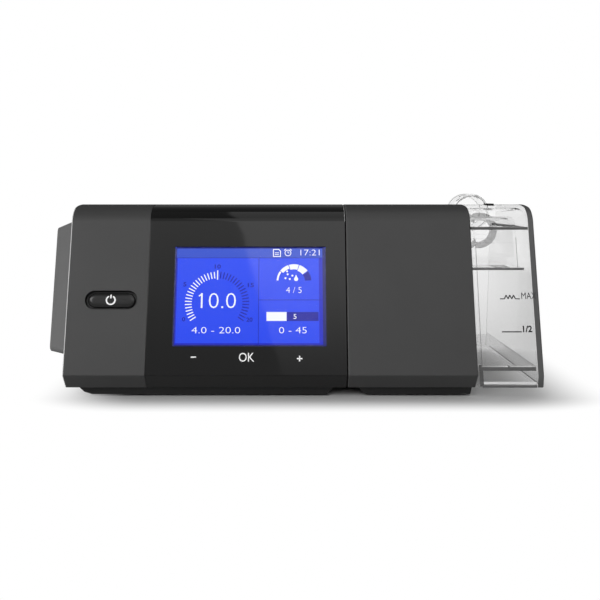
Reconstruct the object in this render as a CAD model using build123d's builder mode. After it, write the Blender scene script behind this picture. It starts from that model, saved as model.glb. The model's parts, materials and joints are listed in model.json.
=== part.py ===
"""Bedside breathing-therapy (CPAP) machine with a docked, heated humidifier and water chamber.

Frame: millimetres, +X to the right as seen from the front, +Y to the back, +Z up.
The origin is under the middle of the machine, on the surface that it stands on.
"""

import math
import os

from build123d import *

# ---------------------------------------------------------------- overall form
MAIN_WIDTH = 136.0        # main unit, from its left end face to the seam
COVER_WIDTH = 62.0        # opaque humidifier cover
CHAMBER_SHOWN = 31.0      # stretch of the water chamber outside the cover
INTAKE_PROUD = 11.0       # how far the intake cover stands out of the left end
MODULE_GAP = 0.5          # between the main unit and the humidifier
CHAMBER_GAP = 0.4         # between the cover's open end and the chamber's shoulder
DEPTH = 130.0

# Side outline, which runs the whole length of the machine
LEAN = 20.0               # degrees that the front face leans back
FACE_BOTTOM_Z = 12.1
FACE_HEIGHT = 72.1        # straight part of the front face, measured upright
SHELL_BOTTOM_Z = 5.3
BEVEL_RUN = 4.5           # how far the bevel under the face runs back
BROW_RADIUS = 11.5        # bend from the face to the roof
BROW_END_SLOPE = 10.0     # degrees of climb that are left after the brow
CROWN_RADIUS = 65.0       # slow bend over the top
ROOF_SLOPE = 3.0          # degrees that the roof falls to the back
REAR_RADIUS = 8.0
CHIN_RADIUS = 1.0         # front lower edge of the face
END_RADIUS = 0.7          # soft edge around each end face

# Walls and fits
WALL = 3.0                # main unit and cover
THIN_WALL = 1.6           # ducts, muffler and blower shells
CLEAR_WALL = 2.2          # water chamber
FIT = 0.2                 # around pieces that are screwed, glued or snapped in
BODY_GAP = 0.3            # between pieces that move past each other
RUNNING = 0.03            # radial clearance of the shaft in its bearings
JOIN_GAP = 0.1            # parting lines and glue lines

# Display
LENS_WIDTH = 96.6         # glossy wrap-around lens, up to the seam
LENS_THICK = 1.5
LCD_WIDTH = 73.44         # lit area of a 3.5 inch 480 x 320 screen
LCD_HEIGHT = 48.96
LCD_FROM_SEAM = 46.8      # middle of the screen to the seam
LCD_UP_FACE = 39.1        # middle of the screen above the foot of the face
LCD_BORDER_X = 4.0        # unlit border of the module
LCD_BORDER_Y = 2.2
LCD_THICK = 4.4
WINDOW_MARGIN = 0.3
BRACKET_LIP = 2.0
BRACKET_SHEET = 0.8
BOARD_THICK = 1.6

# Touch keys under the screen
TOUCH_UNDER_LCD = 5.52    # middle of the strip under the screen's lit area
TOUCH_LENGTH = 70.0
TOUCH_WIDTH = 5.4
TOUCH_THICK = 0.4

# Power button
BUTTON_FROM_LEFT = 21.7
BUTTON_UP_FACE = 37.0
BUTTON_RECESS = (25.6, 9.4)
BUTTON_RECESS_DEPTH = 2.0
BUTTON_CAP = (22.8, 7.0)
BUTTON_SUNK = 0.5
BUTTON_CROWN = 0.9        # edge rounding of the cap
BUTTON_FLANGE = 1.1
BUTTON_FLANGE_THICK = 1.2
BUTTON_TRAVEL = 0.8
SWITCH_SIZE = (6.0, 6.0, 3.4)
SWITCH_BOARD = (30.0, 14.0)
SWITCH_POST = 1.0         # radius of the posts that carry that board

# Plinths and feet
FOOT_HEIGHT = 1.2
FOOT_RADIUS = 6.0
FOOT_INSET = 11.0
PLINTH_FRONT = 3.0        # plinth set back behind the shell's front lower edge
PLINTH_REAR = 9.0         # plinth set in from the machine's rear
PLINTH_SIDE = 5.3         # plinth set in from the shell's ends, at its top
PLINTH_SLOPE = 4.2        # how far the plinth's ends run in on the way down
PLINTH_LEFT_SLOPE = 6.8
PAN_FLOOR = 2.0
PAN_PLATE = 2.4

# Screws that hold the pans to the shells
SCREW_RADIUS = 1.4
SCREW_HEAD_RADIUS = 2.7
SCREW_HEAD_HEIGHT = 1.2
SCREW_LENGTH = 12.0
BOSS_RADIUS = 4.0
BOSS_HEIGHT = 12.0
BOSS_INSET = 3.6          # boss axis to the inside of the walls beside it

# Case split between front cover and rear case
SPLIT_BACK = 45.0         # behind the front lower edge

# Blower
BLOWER_FROM_LEFT = 56.7
BLOWER_FROM_REAR = 47.0
VOLUTE_RADIUS = 36.0
VOLUTE_BOTTOM_Z = 50.0
VOLUTE_HEIGHT = 30.0
DUCT_BORE = 9.0
DUCT_OFFSET = 24.0        # duct axis in front of the blower axis
DUCT_Z = 66.0
VOLUTE_SPOUT = 46.0       # spout end to the right of the blower axis
INLET_RADIUS = 13.0
IMPELLER_RADIUS = 30.0
IMPELLER_GAP = 3.0        # impeller to the volute's floor and ceiling
IMPELLER_DISC = 1.6
HUB_RADIUS = 7.5
BLADE_COUNT = 9
BLADE_THICK = 1.3
BLADE_SWEEP = 28.0
SHAFT_RADIUS = 1.5
SHAFT_BOTTOM_Z = 27.5
BEARING_RADIUS = 5.0
BEARING_HEIGHT = 4.0
BEARING_TUBE_WALL = 1.8
BEARING_TUBE_BOTTOM_Z = 32.0
STATOR_RADIUS = 15.0
STATOR_HEIGHT = 12.0
STATOR_TEETH = 9
ROTOR_GAP = 0.6
ROTOR_WALL = 1.6
ROTOR_HEIGHT = 18.0
EAR_REACH = 39.5
EAR_RADIUS = 5.0
EAR_THICK = 2.0
GROMMET_RADIUS = 4.6
GROMMET_HEIGHT = 4.0
POST_RADIUS = 3.0
POST_FOOT = 1.6           # times as wide at its foot

# Intake
INTAKE_BOTTOM_Z = 20.0
INTAKE_TOP_Z = 84.4
INTAKE_BACK = 5.0         # cover's foot behind the leaning face
INTAKE_LENGTH = 84.0      # cover's foot, front to back, at its lower edge
INTAKE_DRAFT_FRONT = 9.3
INTAKE_DRAFT_REAR = 7.0
INTAKE_DRAFT_TOP = 3.8
INTAKE_WALL = 1.8
SLOT_COUNT = 9
SLOT_WIDTH = 2.2
SLOT_PITCH = 5.0
FILTER_SIZE = (40.0, 40.0, 6.0)   # along Y, along Z, thickness
FILTER_FROM_INTAKE_REAR = 33.0
FILTER_Z = 50.0
FILTER_LEDGE = 2.5
MUFFLER_WIDTH = 12.0
MUFFLER_FRONT = 23.0      # muffler's front end, in front of the filter's middle
MUFFLER_REAR = 4.0        # its rear end, in front of the blower's axis
MUFFLER_BOTTOM_Z = 26.0
MUFFLER_TOP_Z = 86.3
MUFFLER_ARM = 5.0         # height of the flat duct over the blower, outside
FOAM_THICK = 3.0
FILTER_COVER_TRAVEL = 20.0

# Main board and rear panel
BOARD_Z = 12.0
BOARD_MARGIN = 9.0
BOARD_FRONT_BACK = 22.0   # board's front edge behind the front lower edge
STANDOFF_RADIUS = 2.6
BOARD_CHIPS = (((14.0, 30.0), (12.0, 12.0, 1.8)), ((34.0, 44.0), (9.0, 9.0, 1.6)),
               ((58.0, 22.0), (16.0, 10.0, 6.0)))   # from the board's corner, then size
CAPACITOR_RADIUS = 4.0
CAPACITOR_HEIGHT = 10.0
CAPACITOR_PITCH = 11.0
CAPACITOR_BACK = 8.0      # behind the board's front edge
SPEAKER_RADIUS = 7.0
SPEAKER_HEIGHT = 5.0
SPEAKER_MOUTH = (4.0, 2.0)    # radius and depth
SPEAKER_INSET = 12.0      # from the board's front right corner, each way
JACK_FROM_LEFT = 20.0
JACK_Z = 30.0
JACK_RADIUS = 5.5
JACK_BORE = 3.2
JACK_DEPTH = 11.0
JACK_PIN = 1.0
CARD_FROM_LEFT = 112.0
CARD_Z = 30.0
CARD_SIZE = (24.0, 32.0, 2.1)
CARD_STICKOUT = 3.0
CARD_TRAVEL = 24.0
READER_WALL = 1.2

# Humidifier
BAY_DEPTH = 97.0          # chamber, front to back
LEDGE_BACK = 86.0         # rear ledge, which the hose's end reaches over, behind the front edge
LEDGE_Z = 72.0
TRAY_RIM_Z = 7.8
FRAME_Z = (12.0, 13.4)    # heater frame
HEATER_SIZE = (42.0, 66.0)
HEATER_FLANGE = 2.5
HEATER_FLANGE_THICK = 1.1
HEATER_TOP_Z = 13.5
HEATER_PAD_THICK = 1.0
HEATER_TRAVEL = 1.2
SPRING_RADIUS = 3.2
SPRING_WIRE = 0.35
SPRING_TURNS = 4
SOCKET_Y_FROM_REAR = 18.0
SOCKET_Z = 26.0
SOCKET_SIZE = (8.0, 22.0, 9.0)
BLADE_PIN = (0.8, 2.4)    # contact pin's thickness and height
PIN_COUNT = 4
PIN_PITCH = 4.6
PIN_REACH = 4.5
DOCK_TRAVEL = 30.0
PLUG_LENGTH = 7.0
DOCK_SEAL_REACH = 2.4     # how far the docking seal reaches into the cover's wall
INLET_SEAL = 1.4          # seal at the chamber's inlet
SPRING_INSET = 8.0        # spring's axis to the heater's edges

# Water chamber
CHAMBER_LEFT_INSET = 9.0  # chamber's left end to the right of the cover's left end
CHAMBER_INSET = 3.6       # sheath of the chamber under the outline, inside the cover
CHAMBER_REAR_RADIUS = 4.0
CHAMBER_FLOOR_Z = 14.3
FLOOR_THICK = 1.8
SKIRT_BOTTOM_Z = 6.4
LID_SEAM_Z = 81.0
GASKET_THICK = 1.4
END_PANEL = 2.9
PLATE_SIZE = (38.0, 62.0)
PLATE_DROP = 0.5
GUIDE_FLOOR_Z = 61.5
GUIDE_THICK = 1.2
GUIDE_REACH = 24.0        # guide's right end, to the right of the cover's edge
GUIDE_BACK = 64.0         # guide's rear behind the front lower edge
GUIDE_CORNER = 5.0
GUIDE_FROM_INLET = 14.0
GUIDE_PLATE_LIP = 3.0
PORT_RADIUS = 10.6        # tapered fitting for 22 mm hose, taken as a plain cylinder
PORT_BORE = 8.8
PORT_LENGTH = 17.5        # behind the ledge's wall
PORT_NECK = 10.0          # radius of the closed end in front of the ledge's wall
PORT_ROOT = 3.4           # length of that end
PORT_EDGE = 0.5
PORT_FROM_COVER = 14.0    # port axis to the right of the cover's edge
PORT_Z = 87.5
PORT_BOSS = 1.8
COLLAR_RADII = (9.8, 6.6)
COLLAR_Z = 78.3
COLLAR_LENGTH = 4.0
LATCH_SIZE = (3.6, 9.0, 1.3)
LATCH_PROUD = 0.45
CHAMBER_TRAVEL = 60.0

# ---------------------------------------------------------------- derived places
TOTAL_WIDTH = (INTAKE_PROUD + MAIN_WIDTH + MODULE_GAP + COVER_WIDTH + CHAMBER_GAP
               + CHAMBER_SHOWN)
LEFT_END = INTAKE_PROUD - TOTAL_WIDTH / 2
SEAM = LEFT_END + MAIN_WIDTH
COVER_LEFT = SEAM + MODULE_GAP
COVER_RIGHT = COVER_LEFT + COVER_WIDTH
CHAMBER_SHOULDER = COVER_RIGHT + CHAMBER_GAP
CHAMBER_RIGHT = CHAMBER_SHOULDER + CHAMBER_SHOWN
CHAMBER_LEFT = COVER_LEFT + CHAMBER_LEFT_INSET
Y_FRONT = -DEPTH / 2
Y_REAR = DEPTH / 2
SPLIT_Y = Y_FRONT + SPLIT_BACK
SPLIT_PLANE = Plane(origin=(0, SPLIT_Y, 0), x_dir=(1, 0, 0), z_dir=(0, 1, 0))
LENS_LEFT = SEAM - LENS_WIDTH
PLINTH_TOP_Z = SHELL_BOTTOM_Z
PAN_BOTTOM_Z = FOOT_HEIGHT
PAN_INSIDE_Z = PAN_BOTTOM_Z + PAN_FLOOR
PAN_TOP_Z = SHELL_BOTTOM_Z + PAN_PLATE
PAN_FRONT = Y_FRONT + BEVEL_RUN + WALL + 1.0
FACE_SLOPE = math.tan(math.radians(LEAN))
FACE_UP = (0, math.sin(math.radians(LEAN)), math.cos(math.radians(LEAN)))
FACE_OUT = (0, -math.cos(math.radians(LEAN)), math.sin(math.radians(LEAN)))
LCD_X = SEAM - LCD_FROM_SEAM
TOUCH_UP_FACE = LCD_UP_FACE - LCD_HEIGHT / 2 - TOUCH_UNDER_LCD
BUTTON_X = LEFT_END + BUTTON_FROM_LEFT
BLOWER_X = LEFT_END + BLOWER_FROM_LEFT
BLOWER_Y = Y_REAR - BLOWER_FROM_REAR
VOLUTE_TOP_Z = VOLUTE_BOTTOM_Z + VOLUTE_HEIGHT
DUCT_Y = BLOWER_Y - DUCT_OFFSET
DUCT_OUTSIDE = DUCT_BORE + THIN_WALL
SPOUT_END = BLOWER_X + VOLUTE_SPOUT
CHAMBER_REAR = Y_FRONT + BAY_DEPTH
INTAKE_REAR = Y_FRONT + INTAKE_BACK + INTAKE_LENGTH
FILTER_Y = INTAKE_REAR - FILTER_FROM_INTAKE_REAR
FACE_TOP_Z = FACE_BOTTOM_Z + FACE_HEIGHT
FACE_TOP_Y = Y_FRONT + FACE_HEIGHT * FACE_SLOPE
BROW_END = math.radians(BROW_END_SLOPE)
APEX_Y = (FACE_TOP_Y + BROW_RADIUS * (math.cos(math.radians(LEAN)) - math.sin(BROW_END))
          + CROWN_RADIUS * math.sin(BROW_END))
APEX_Z = (FACE_TOP_Z + BROW_RADIUS * (math.cos(BROW_END) - math.sin(math.radians(LEAN)))
          + CROWN_RADIUS * (1 - math.cos(BROW_END)))
PLINTH_Y = (Y_FRONT + BEVEL_RUN + PLINTH_FRONT, Y_REAR - PLINTH_REAR)
PORT_X = COVER_RIGHT + PORT_FROM_COVER
LEDGE_Y = Y_FRONT + LEDGE_BACK
PORT_END = LEDGE_Y + PORT_LENGTH
GUIDE_REAR = Y_FRONT + GUIDE_BACK
GUIDE_INSET = CHAMBER_INSET + CLEAR_WALL + BODY_GAP


# ---------------------------------------------------------------- shared shapes
def side_outline(foot, rear, rear_radius, inset, soft_chin):
    """Flat side outline, Y to the right and Z up, from a foot at the front to a flat rear."""
    with BuildSketch() as outline:
        with BuildLine():
            chin = Line(foot, (Y_FRONT, FACE_BOTTOM_Z))
            face = Line(chin @ 1, (FACE_TOP_Y, FACE_TOP_Z))
            brow = JernArc(face @ 1, face % 1, BROW_RADIUS, -(90 - LEAN - BROW_END_SLOPE))
            crown = JernArc(brow @ 1, brow % 1, CROWN_RADIUS, -(BROW_END_SLOPE + ROOF_SLOPE))
            roof_run = rear - (crown @ 1).X
            roof_end = (rear, (crown @ 1).Y - roof_run * math.tan(math.radians(ROOF_SLOPE)))
            roof = Line(crown @ 1, roof_end)
            back = Line(roof @ 1, (rear, foot[1]))
            Line(back @ 1, chin @ 0)
        make_face()
        fillet(outline.vertices().group_by(Axis.X)[-1].sort_by(Axis.Y)[-1], rear_radius)
        if soft_chin:
            fillet(outline.vertices().sort_by(Axis.X)[0], CHIN_RADIUS)
        if inset > 0:
            offset(amount=-inset, kind=Kind.INTERSECTION)
    return outline.sketch


def body_outline(inset=0.0):
    """Side outline of the casings, moved in by inset."""
    foot = (Y_FRONT + BEVEL_RUN, SHELL_BOTTOM_Z)
    return side_outline(foot, Y_REAR, REAR_RADIUS, inset, soft_chin=True)


def chamber_outline(inset=0.0):
    """Side outline of the water chamber, moved in by inset and open-ended below its skirt."""
    foot = (Y_FRONT, SKIRT_BOTTOM_Z - FACE_HEIGHT)
    with BuildSketch() as outline:
        add(side_outline(foot, LEDGE_Y, CHAMBER_REAR_RADIUS, 0.0, soft_chin=False))
        with Locations((CHAMBER_REAR, LEDGE_Z)):
            Rectangle(CHAMBER_REAR, LEDGE_Z - foot[1], align=(Align.MAX, Align.MAX))
        if inset > 0:
            offset(amount=-inset, kind=Kind.INTERSECTION)
    return outline.sketch


def body_bar(x_low, x_high, inset=0.0, mode=Mode.ADD):
    """Stretch of the machine's side outline between two ends, in the current part."""
    with BuildSketch(Plane.YZ.offset(x_low)) as section:
        add(body_outline(inset))
    extrude(section.sketch, amount=x_high - x_low, mode=mode)


def block(x_span, y_span, z_span, mode=Mode.ADD):
    """Box between three pairs of limits, in the current part."""
    middle = tuple((span[0] + span[1]) / 2 for span in (x_span, y_span, z_span))
    with Locations(middle):
        Box(x_span[1] - x_span[0], y_span[1] - y_span[0], z_span[1] - z_span[0], mode=mode)


def around(middle, size):
    """Pair of limits of a length centred on a place."""
    return (middle - size / 2, middle + size / 2)


def post(x, y, z_span, radius, mode=Mode.ADD):
    """Upright cylinder between two heights, in the current part."""
    with Locations((x, y, (z_span[0] + z_span[1]) / 2)):
        Cylinder(radius, z_span[1] - z_span[0], mode=mode)


def rod_x(x_span, y, z, radius, mode=Mode.ADD):
    """Cylinder along X, in the current part."""
    with Locations(Location(((x_span[0] + x_span[1]) / 2, y, z), (0, 90, 0))):
        Cylinder(radius, x_span[1] - x_span[0], mode=mode)


def rod_y(x, y_span, z, radius, mode=Mode.ADD):
    """Cylinder along Y, in the current part."""
    with Locations(Location((x, (y_span[0] + y_span[1]) / 2, z), (90, 0, 0))):
        Cylinder(radius, y_span[1] - y_span[0], mode=mode)


def on_face(x, up_face, depth=0.0):
    """Plane on the leaning face at a distance up from its foot, sunk by depth."""
    foot = Vector(x, Y_FRONT, FACE_BOTTOM_Z)
    origin = foot + Vector(*FACE_UP) * up_face - Vector(*FACE_OUT) * depth
    return Plane(origin=origin, x_dir=(1, 0, 0), z_dir=FACE_OUT)


def open_bottom(x_low, x_high):
    """Cut the opening for a pan into the underside of a shell."""
    block((x_low, x_high), (PAN_FRONT, Y_REAR - WALL),
          (SHELL_BOTTOM_Z - 1, SHELL_BOTTOM_Z + WALL + 1), mode=Mode.SUBTRACT)


def corner_places(x_low, x_high, y_low, y_high, inset):
    """The four corners of a rectangle, each moved in by inset."""
    return [(x, y) for x in (x_low + inset, x_high - inset) for y in (y_low + inset, y_high - inset)]


def screw_places(x_low, x_high):
    """Screw axes of a module whose shell reaches from x_low to x_high."""
    return corner_places(x_low + WALL, x_high - WALL, PAN_FRONT, Y_REAR - WALL, BOSS_INSET)


def screw_boss(x, y):
    """Boss for one pan screw, with its pilot hole, ribbed to the wall in front or behind."""
    low, top = PAN_TOP_Z + FIT, PAN_TOP_Z + FIT + BOSS_HEIGHT
    post(x, y, (low, top), BOSS_RADIUS)
    wall_y = Y_REAR - WALL / 2 if y > 0 else PAN_FRONT - WALL - 0.5
    block(around(x, 2 * THIN_WALL), (min(y, wall_y), max(y, wall_y)), (low, top))
    post(x, y, (PAN_TOP_Z, top - 1.5), SCREW_RADIUS + JOIN_GAP, mode=Mode.SUBTRACT)


def screw_hole(x, y):
    """Clearance and head recess for one pan screw, cut from below."""
    seat = SHELL_BOTTOM_Z + SCREW_HEAD_HEIGHT + FIT
    post(x, y, (PAN_BOTTOM_Z - 1, PAN_TOP_Z + 1), SCREW_RADIUS + FIT, mode=Mode.SUBTRACT)
    post(x, y, (PAN_BOTTOM_Z - 1, seat), SCREW_HEAD_RADIUS + FIT, mode=Mode.SUBTRACT)


def screw(x, y):
    """Pan screw with a cross recess in its head."""
    low = SHELL_BOTTOM_Z + JOIN_GAP
    post(x, y, (low, low + SCREW_HEAD_HEIGHT), SCREW_HEAD_RADIUS)
    post(x, y, (low + SCREW_HEAD_HEIGHT / 2, low + SCREW_LENGTH), SCREW_RADIUS)
    slot = (SCREW_HEAD_RADIUS * 1.1, 0.6)
    for across, along in (slot, slot[::-1]):
        block(around(x, across), around(y, along), (low - 1, low + SCREW_HEAD_HEIGHT / 2),
              mode=Mode.SUBTRACT)


def save(part, name):
    """Write one finished node."""
    part.part.label = name
    export_step(part.part, f"parts/{name}.step")


os.makedirs("parts", exist_ok=True)


# ---------------------------------------------------------------- main unit: casing
def shared_holes():
    """Holes that both halves of the main casing share: filter opening and duct passage."""
    block((LEFT_END - 1, LEFT_END + WALL + 1), around(FILTER_Y, FILTER_SIZE[0] - 2 * FILTER_LEDGE),
          around(FILTER_Z, FILTER_SIZE[1] - 2 * FILTER_LEDGE), mode=Mode.SUBTRACT)
    rod_x((SEAM - WALL - 1, SEAM + 1), DUCT_Y, DUCT_Z, DUCT_OUTSIDE + FIT, mode=Mode.SUBTRACT)


MAIN_SCREWS = screw_places(LEFT_END, SEAM)
FRONT_SCREWS = [place for place in MAIN_SCREWS if place[1] < SPLIT_Y]
REAR_SCREWS = [place for place in MAIN_SCREWS if place[1] > SPLIT_Y]

with BuildPart() as front_cover:
    body_bar(LEFT_END, LENS_LEFT - JOIN_GAP)
    fillet(front_cover.faces().sort_by(Axis.X)[0].edges(), END_RADIUS)
    body_bar(LENS_LEFT - JOIN_GAP, SEAM, LENS_THICK + JOIN_GAP)
    body_bar(LEFT_END + WALL, SEAM - WALL, WALL, mode=Mode.SUBTRACT)
    open_bottom(LEFT_END + WALL, SEAM - WALL)
    split(bisect_by=SPLIT_PLANE.offset(-JOIN_GAP / 2), keep=Keep.BOTTOM)
    for x, y in FRONT_SCREWS:
        screw_boss(x, y)
    with BuildSketch(on_face(BUTTON_X, BUTTON_UP_FACE)):
        SlotOverall(*BUTTON_RECESS)
    extrude(amount=-BUTTON_RECESS_DEPTH, mode=Mode.SUBTRACT)
    with BuildSketch(on_face(BUTTON_X, BUTTON_UP_FACE)):
        SlotOverall(BUTTON_CAP[0] + 2 * BODY_GAP, BUTTON_CAP[1] + 2 * BODY_GAP)
    extrude(amount=-(WALL + 1), mode=Mode.SUBTRACT)
    with BuildSketch(on_face(LCD_X, LCD_UP_FACE)):
        Rectangle(LCD_WIDTH + 2 * (LCD_BORDER_X + FIT), LCD_HEIGHT + 2 * (LCD_BORDER_Y + FIT))
    extrude(amount=-(WALL + 1), mode=Mode.SUBTRACT)
    with BuildSketch(on_face(LCD_X, TOUCH_UP_FACE)):
        Rectangle(TOUCH_LENGTH + 2 * FIT, TOUCH_WIDTH + 2 * FIT)
    extrude(amount=-(LENS_THICK + 2 * JOIN_GAP + TOUCH_THICK), mode=Mode.SUBTRACT)
    shared_holes()

with BuildPart() as display_lens:
    body_bar(LENS_LEFT, SEAM)
    body_bar(LENS_LEFT - 1, SEAM + 1, LENS_THICK, mode=Mode.SUBTRACT)
    open_bottom(LENS_LEFT - 1, SEAM + 1)
    split(bisect_by=SPLIT_PLANE.offset(-JOIN_GAP / 2), keep=Keep.BOTTOM)
    with BuildSketch(on_face(LCD_X, LCD_UP_FACE)):
        Rectangle(LCD_WIDTH + 2 * WINDOW_MARGIN, LCD_HEIGHT + 2 * WINDOW_MARGIN)
    extrude(amount=-(LENS_THICK + 1), mode=Mode.SUBTRACT)

with BuildPart() as lcd_window:
    with BuildSketch(on_face(LCD_X, LCD_UP_FACE)):
        Rectangle(LCD_WIDTH + 2 * (WINDOW_MARGIN - JOIN_GAP / 2),
                  LCD_HEIGHT + 2 * (WINDOW_MARGIN - JOIN_GAP / 2))
    extrude(amount=-(LENS_THICK - JOIN_GAP))

LCD_DEPTH = LENS_THICK + JOIN_GAP
with BuildPart() as lcd_module:
    with BuildSketch(on_face(LCD_X, LCD_UP_FACE, LCD_DEPTH)):
        Rectangle(LCD_WIDTH + 2 * LCD_BORDER_X, LCD_HEIGHT + 2 * LCD_BORDER_Y)
    extrude(amount=-LCD_THICK)

with BuildPart() as display_bracket:
    bracket_size = (LCD_WIDTH + 2 * (LCD_BORDER_X + BRACKET_LIP),
                    LCD_HEIGHT + 2 * (LCD_BORDER_Y + BRACKET_LIP))
    bracket_back = LCD_DEPTH + LCD_THICK + JOIN_GAP
    with BuildSketch(on_face(LCD_X, LCD_UP_FACE, WALL + JOIN_GAP)):
        Rectangle(*bracket_size)
    extrude(amount=-(bracket_back + BRACKET_SHEET - WALL - JOIN_GAP))
    with BuildSketch(on_face(LCD_X, LCD_UP_FACE)):
        Rectangle(LCD_WIDTH + 2 * (LCD_BORDER_X + FIT), LCD_HEIGHT + 2 * (LCD_BORDER_Y + FIT))
    extrude(amount=-bracket_back, mode=Mode.SUBTRACT)

with BuildPart() as display_board:
    with BuildSketch(on_face(LCD_X, LCD_UP_FACE, bracket_back + BRACKET_SHEET + JOIN_GAP)):
        Rectangle(LCD_WIDTH, LCD_HEIGHT)
    extrude(amount=-BOARD_THICK)

with BuildPart() as touch_strip:
    with BuildSketch(on_face(LCD_X, TOUCH_UP_FACE, LENS_THICK + JOIN_GAP)):
        Rectangle(TOUCH_LENGTH, TOUCH_WIDTH)
    extrude(amount=-TOUCH_THICK)

flange_depth = WALL + BODY_GAP
with BuildPart() as power_button:
    with BuildSketch(on_face(BUTTON_X, BUTTON_UP_FACE, BUTTON_SUNK)):
        SlotOverall(*BUTTON_CAP)
    extrude(amount=-(flange_depth - BUTTON_SUNK))
    fillet(power_button.faces().sort_by(Axis.Y)[0].edges(), BUTTON_CROWN)
    with BuildSketch(on_face(BUTTON_X, BUTTON_UP_FACE, flange_depth)):
        SlotOverall(BUTTON_CAP[0] + 2 * BUTTON_FLANGE, BUTTON_CAP[1] + 2 * BUTTON_FLANGE)
    extrude(amount=-BUTTON_FLANGE_THICK)

switch_depth = flange_depth + BUTTON_FLANGE_THICK + BUTTON_TRAVEL + BODY_GAP
with BuildPart() as power_switch:
    with BuildSketch(on_face(BUTTON_X, BUTTON_UP_FACE, switch_depth + 0.8)):
        Rectangle(SWITCH_SIZE[0], SWITCH_SIZE[1])
    extrude(amount=-(SWITCH_SIZE[2] - 0.8))
    with BuildSketch(on_face(BUTTON_X, BUTTON_UP_FACE, switch_depth)):
        Circle(SWITCH_SIZE[0] * 0.28)
    extrude(amount=-1.2)

with BuildPart() as switch_board:
    board_depth = switch_depth + SWITCH_SIZE[2] + JOIN_GAP
    with BuildSketch(on_face(BUTTON_X, BUTTON_UP_FACE, board_depth)):
        Rectangle(*SWITCH_BOARD)
    extrude(amount=-BOARD_THICK)
    with BuildSketch(on_face(BUTTON_X, BUTTON_UP_FACE, WALL + JOIN_GAP)):
        with GridLocations(SWITCH_BOARD[0] - 2 * SWITCH_POST, SWITCH_BOARD[1] - 2 * SWITCH_POST, 2, 2):
            Circle(SWITCH_POST)
    extrude(amount=-(board_depth - WALL - JOIN_GAP + BOARD_THICK))

with BuildPart() as rear_case:
    body_bar(LEFT_END, SEAM)
    fillet(rear_case.faces().sort_by(Axis.X)[0].edges(), END_RADIUS)
    body_bar(LEFT_END + WALL, SEAM - WALL, WALL, mode=Mode.SUBTRACT)
    open_bottom(LEFT_END + WALL, SEAM - WALL)
    split(bisect_by=SPLIT_PLANE.offset(JOIN_GAP / 2), keep=Keep.TOP)
    for x, y in REAR_SCREWS:
        screw_boss(x, y)
    shared_holes()
    rod_y(LEFT_END + JACK_FROM_LEFT, (Y_REAR - WALL - 1, Y_REAR + 1), JACK_Z,
          JACK_RADIUS + FIT, mode=Mode.SUBTRACT)
    block(around(LEFT_END + CARD_FROM_LEFT, CARD_SIZE[0] + 2 * BODY_GAP),
          (Y_REAR - WALL - 1, Y_REAR + 1), around(CARD_Z, CARD_SIZE[2] + 2 * BODY_GAP),
          mode=Mode.SUBTRACT)
    block((SEAM - WALL - 1, SEAM + 1),
          around(Y_REAR - SOCKET_Y_FROM_REAR, SOCKET_SIZE[1] + 2 * FIT),
          around(SOCKET_Z, SOCKET_SIZE[2] + 2 * FIT), mode=Mode.SUBTRACT)


def plinth_outline(x_left, x_right, slope_left, slope_right):
    """Front view of a plinth: a flat bar whose ends run in on the way down."""
    with BuildSketch(Plane.XZ.offset(-PLINTH_Y[1])) as outline:
        with BuildLine():
            Polyline((x_left, PLINTH_TOP_Z), (x_left + slope_left * 0.45, PAN_BOTTOM_Z + 1.2),
                     (x_left + slope_left, PAN_BOTTOM_Z), (x_right - slope_right, PAN_BOTTOM_Z),
                     (x_right, PLINTH_TOP_Z), close=True)
        make_face()
    return outline.sketch


with BuildPart() as base_pan:
    plinth = (LEFT_END + PLINTH_SIDE, SEAM - PLINTH_SIDE)
    plinth_depth = PLINTH_Y[1] - PLINTH_Y[0]
    extrude(plinth_outline(*plinth, PLINTH_LEFT_SLOPE, PLINTH_SLOPE), amount=plinth_depth)
    block((LEFT_END + WALL + FIT, SEAM - WALL - FIT), (PAN_FRONT + FIT, Y_REAR - WALL - FIT),
          (SHELL_BOTTOM_Z, PAN_TOP_Z))
    hollow_margin = BOSS_INSET + BOSS_RADIUS + PLINTH_SLOPE
    block((LEFT_END + WALL + hollow_margin, SEAM - WALL - hollow_margin),
          (PLINTH_Y[0] + THIN_WALL + BOSS_RADIUS, PLINTH_Y[1] - THIN_WALL),
          (PAN_INSIDE_Z, PAN_TOP_Z + 1), mode=Mode.SUBTRACT)
    for x, y in MAIN_SCREWS:
        screw_hole(x, y)

blower_ears = [(BLOWER_X + EAR_REACH * math.cos(math.radians(angle)),
                BLOWER_Y + EAR_REACH * math.sin(math.radians(angle))) for angle in (30, 150, 270)]
board_x = (LEFT_END + WALL + hollow_margin + 2, BLOWER_X + VOLUTE_SPOUT)
board_y = (Y_FRONT + BOARD_FRONT_BACK, PLINTH_Y[1] - 4)
board_corners = corner_places(*board_x, *board_y, 3.4)
front_post_x = blower_ears[-1][0]

with BuildPart() as blower_posts:
    for x, y in blower_ears:
        post(x, y, (PAN_INSIDE_Z, VOLUTE_BOTTOM_Z - GROMMET_HEIGHT), POST_RADIUS)
        post(x, y, (PAN_INSIDE_Z, VOLUTE_BOTTOM_Z + EAR_THICK), SCREW_RADIUS)
        post(x, y, (PAN_INSIDE_Z, PAN_INSIDE_Z + 2), POST_RADIUS * POST_FOOT)

with BuildPart() as board_standoffs:
    for x, y in board_corners:
        post(x, y, (PAN_INSIDE_Z, BOARD_Z), STANDOFF_RADIUS)

with BuildPart() as main_board:
    block(board_x, board_y, (BOARD_Z, BOARD_Z + BOARD_THICK))
    for x, y in blower_ears:
        post(x, y, (BOARD_Z - 1, BOARD_Z + BOARD_THICK + 1), POST_RADIUS + 2 * FIT,
             mode=Mode.SUBTRACT)

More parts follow.
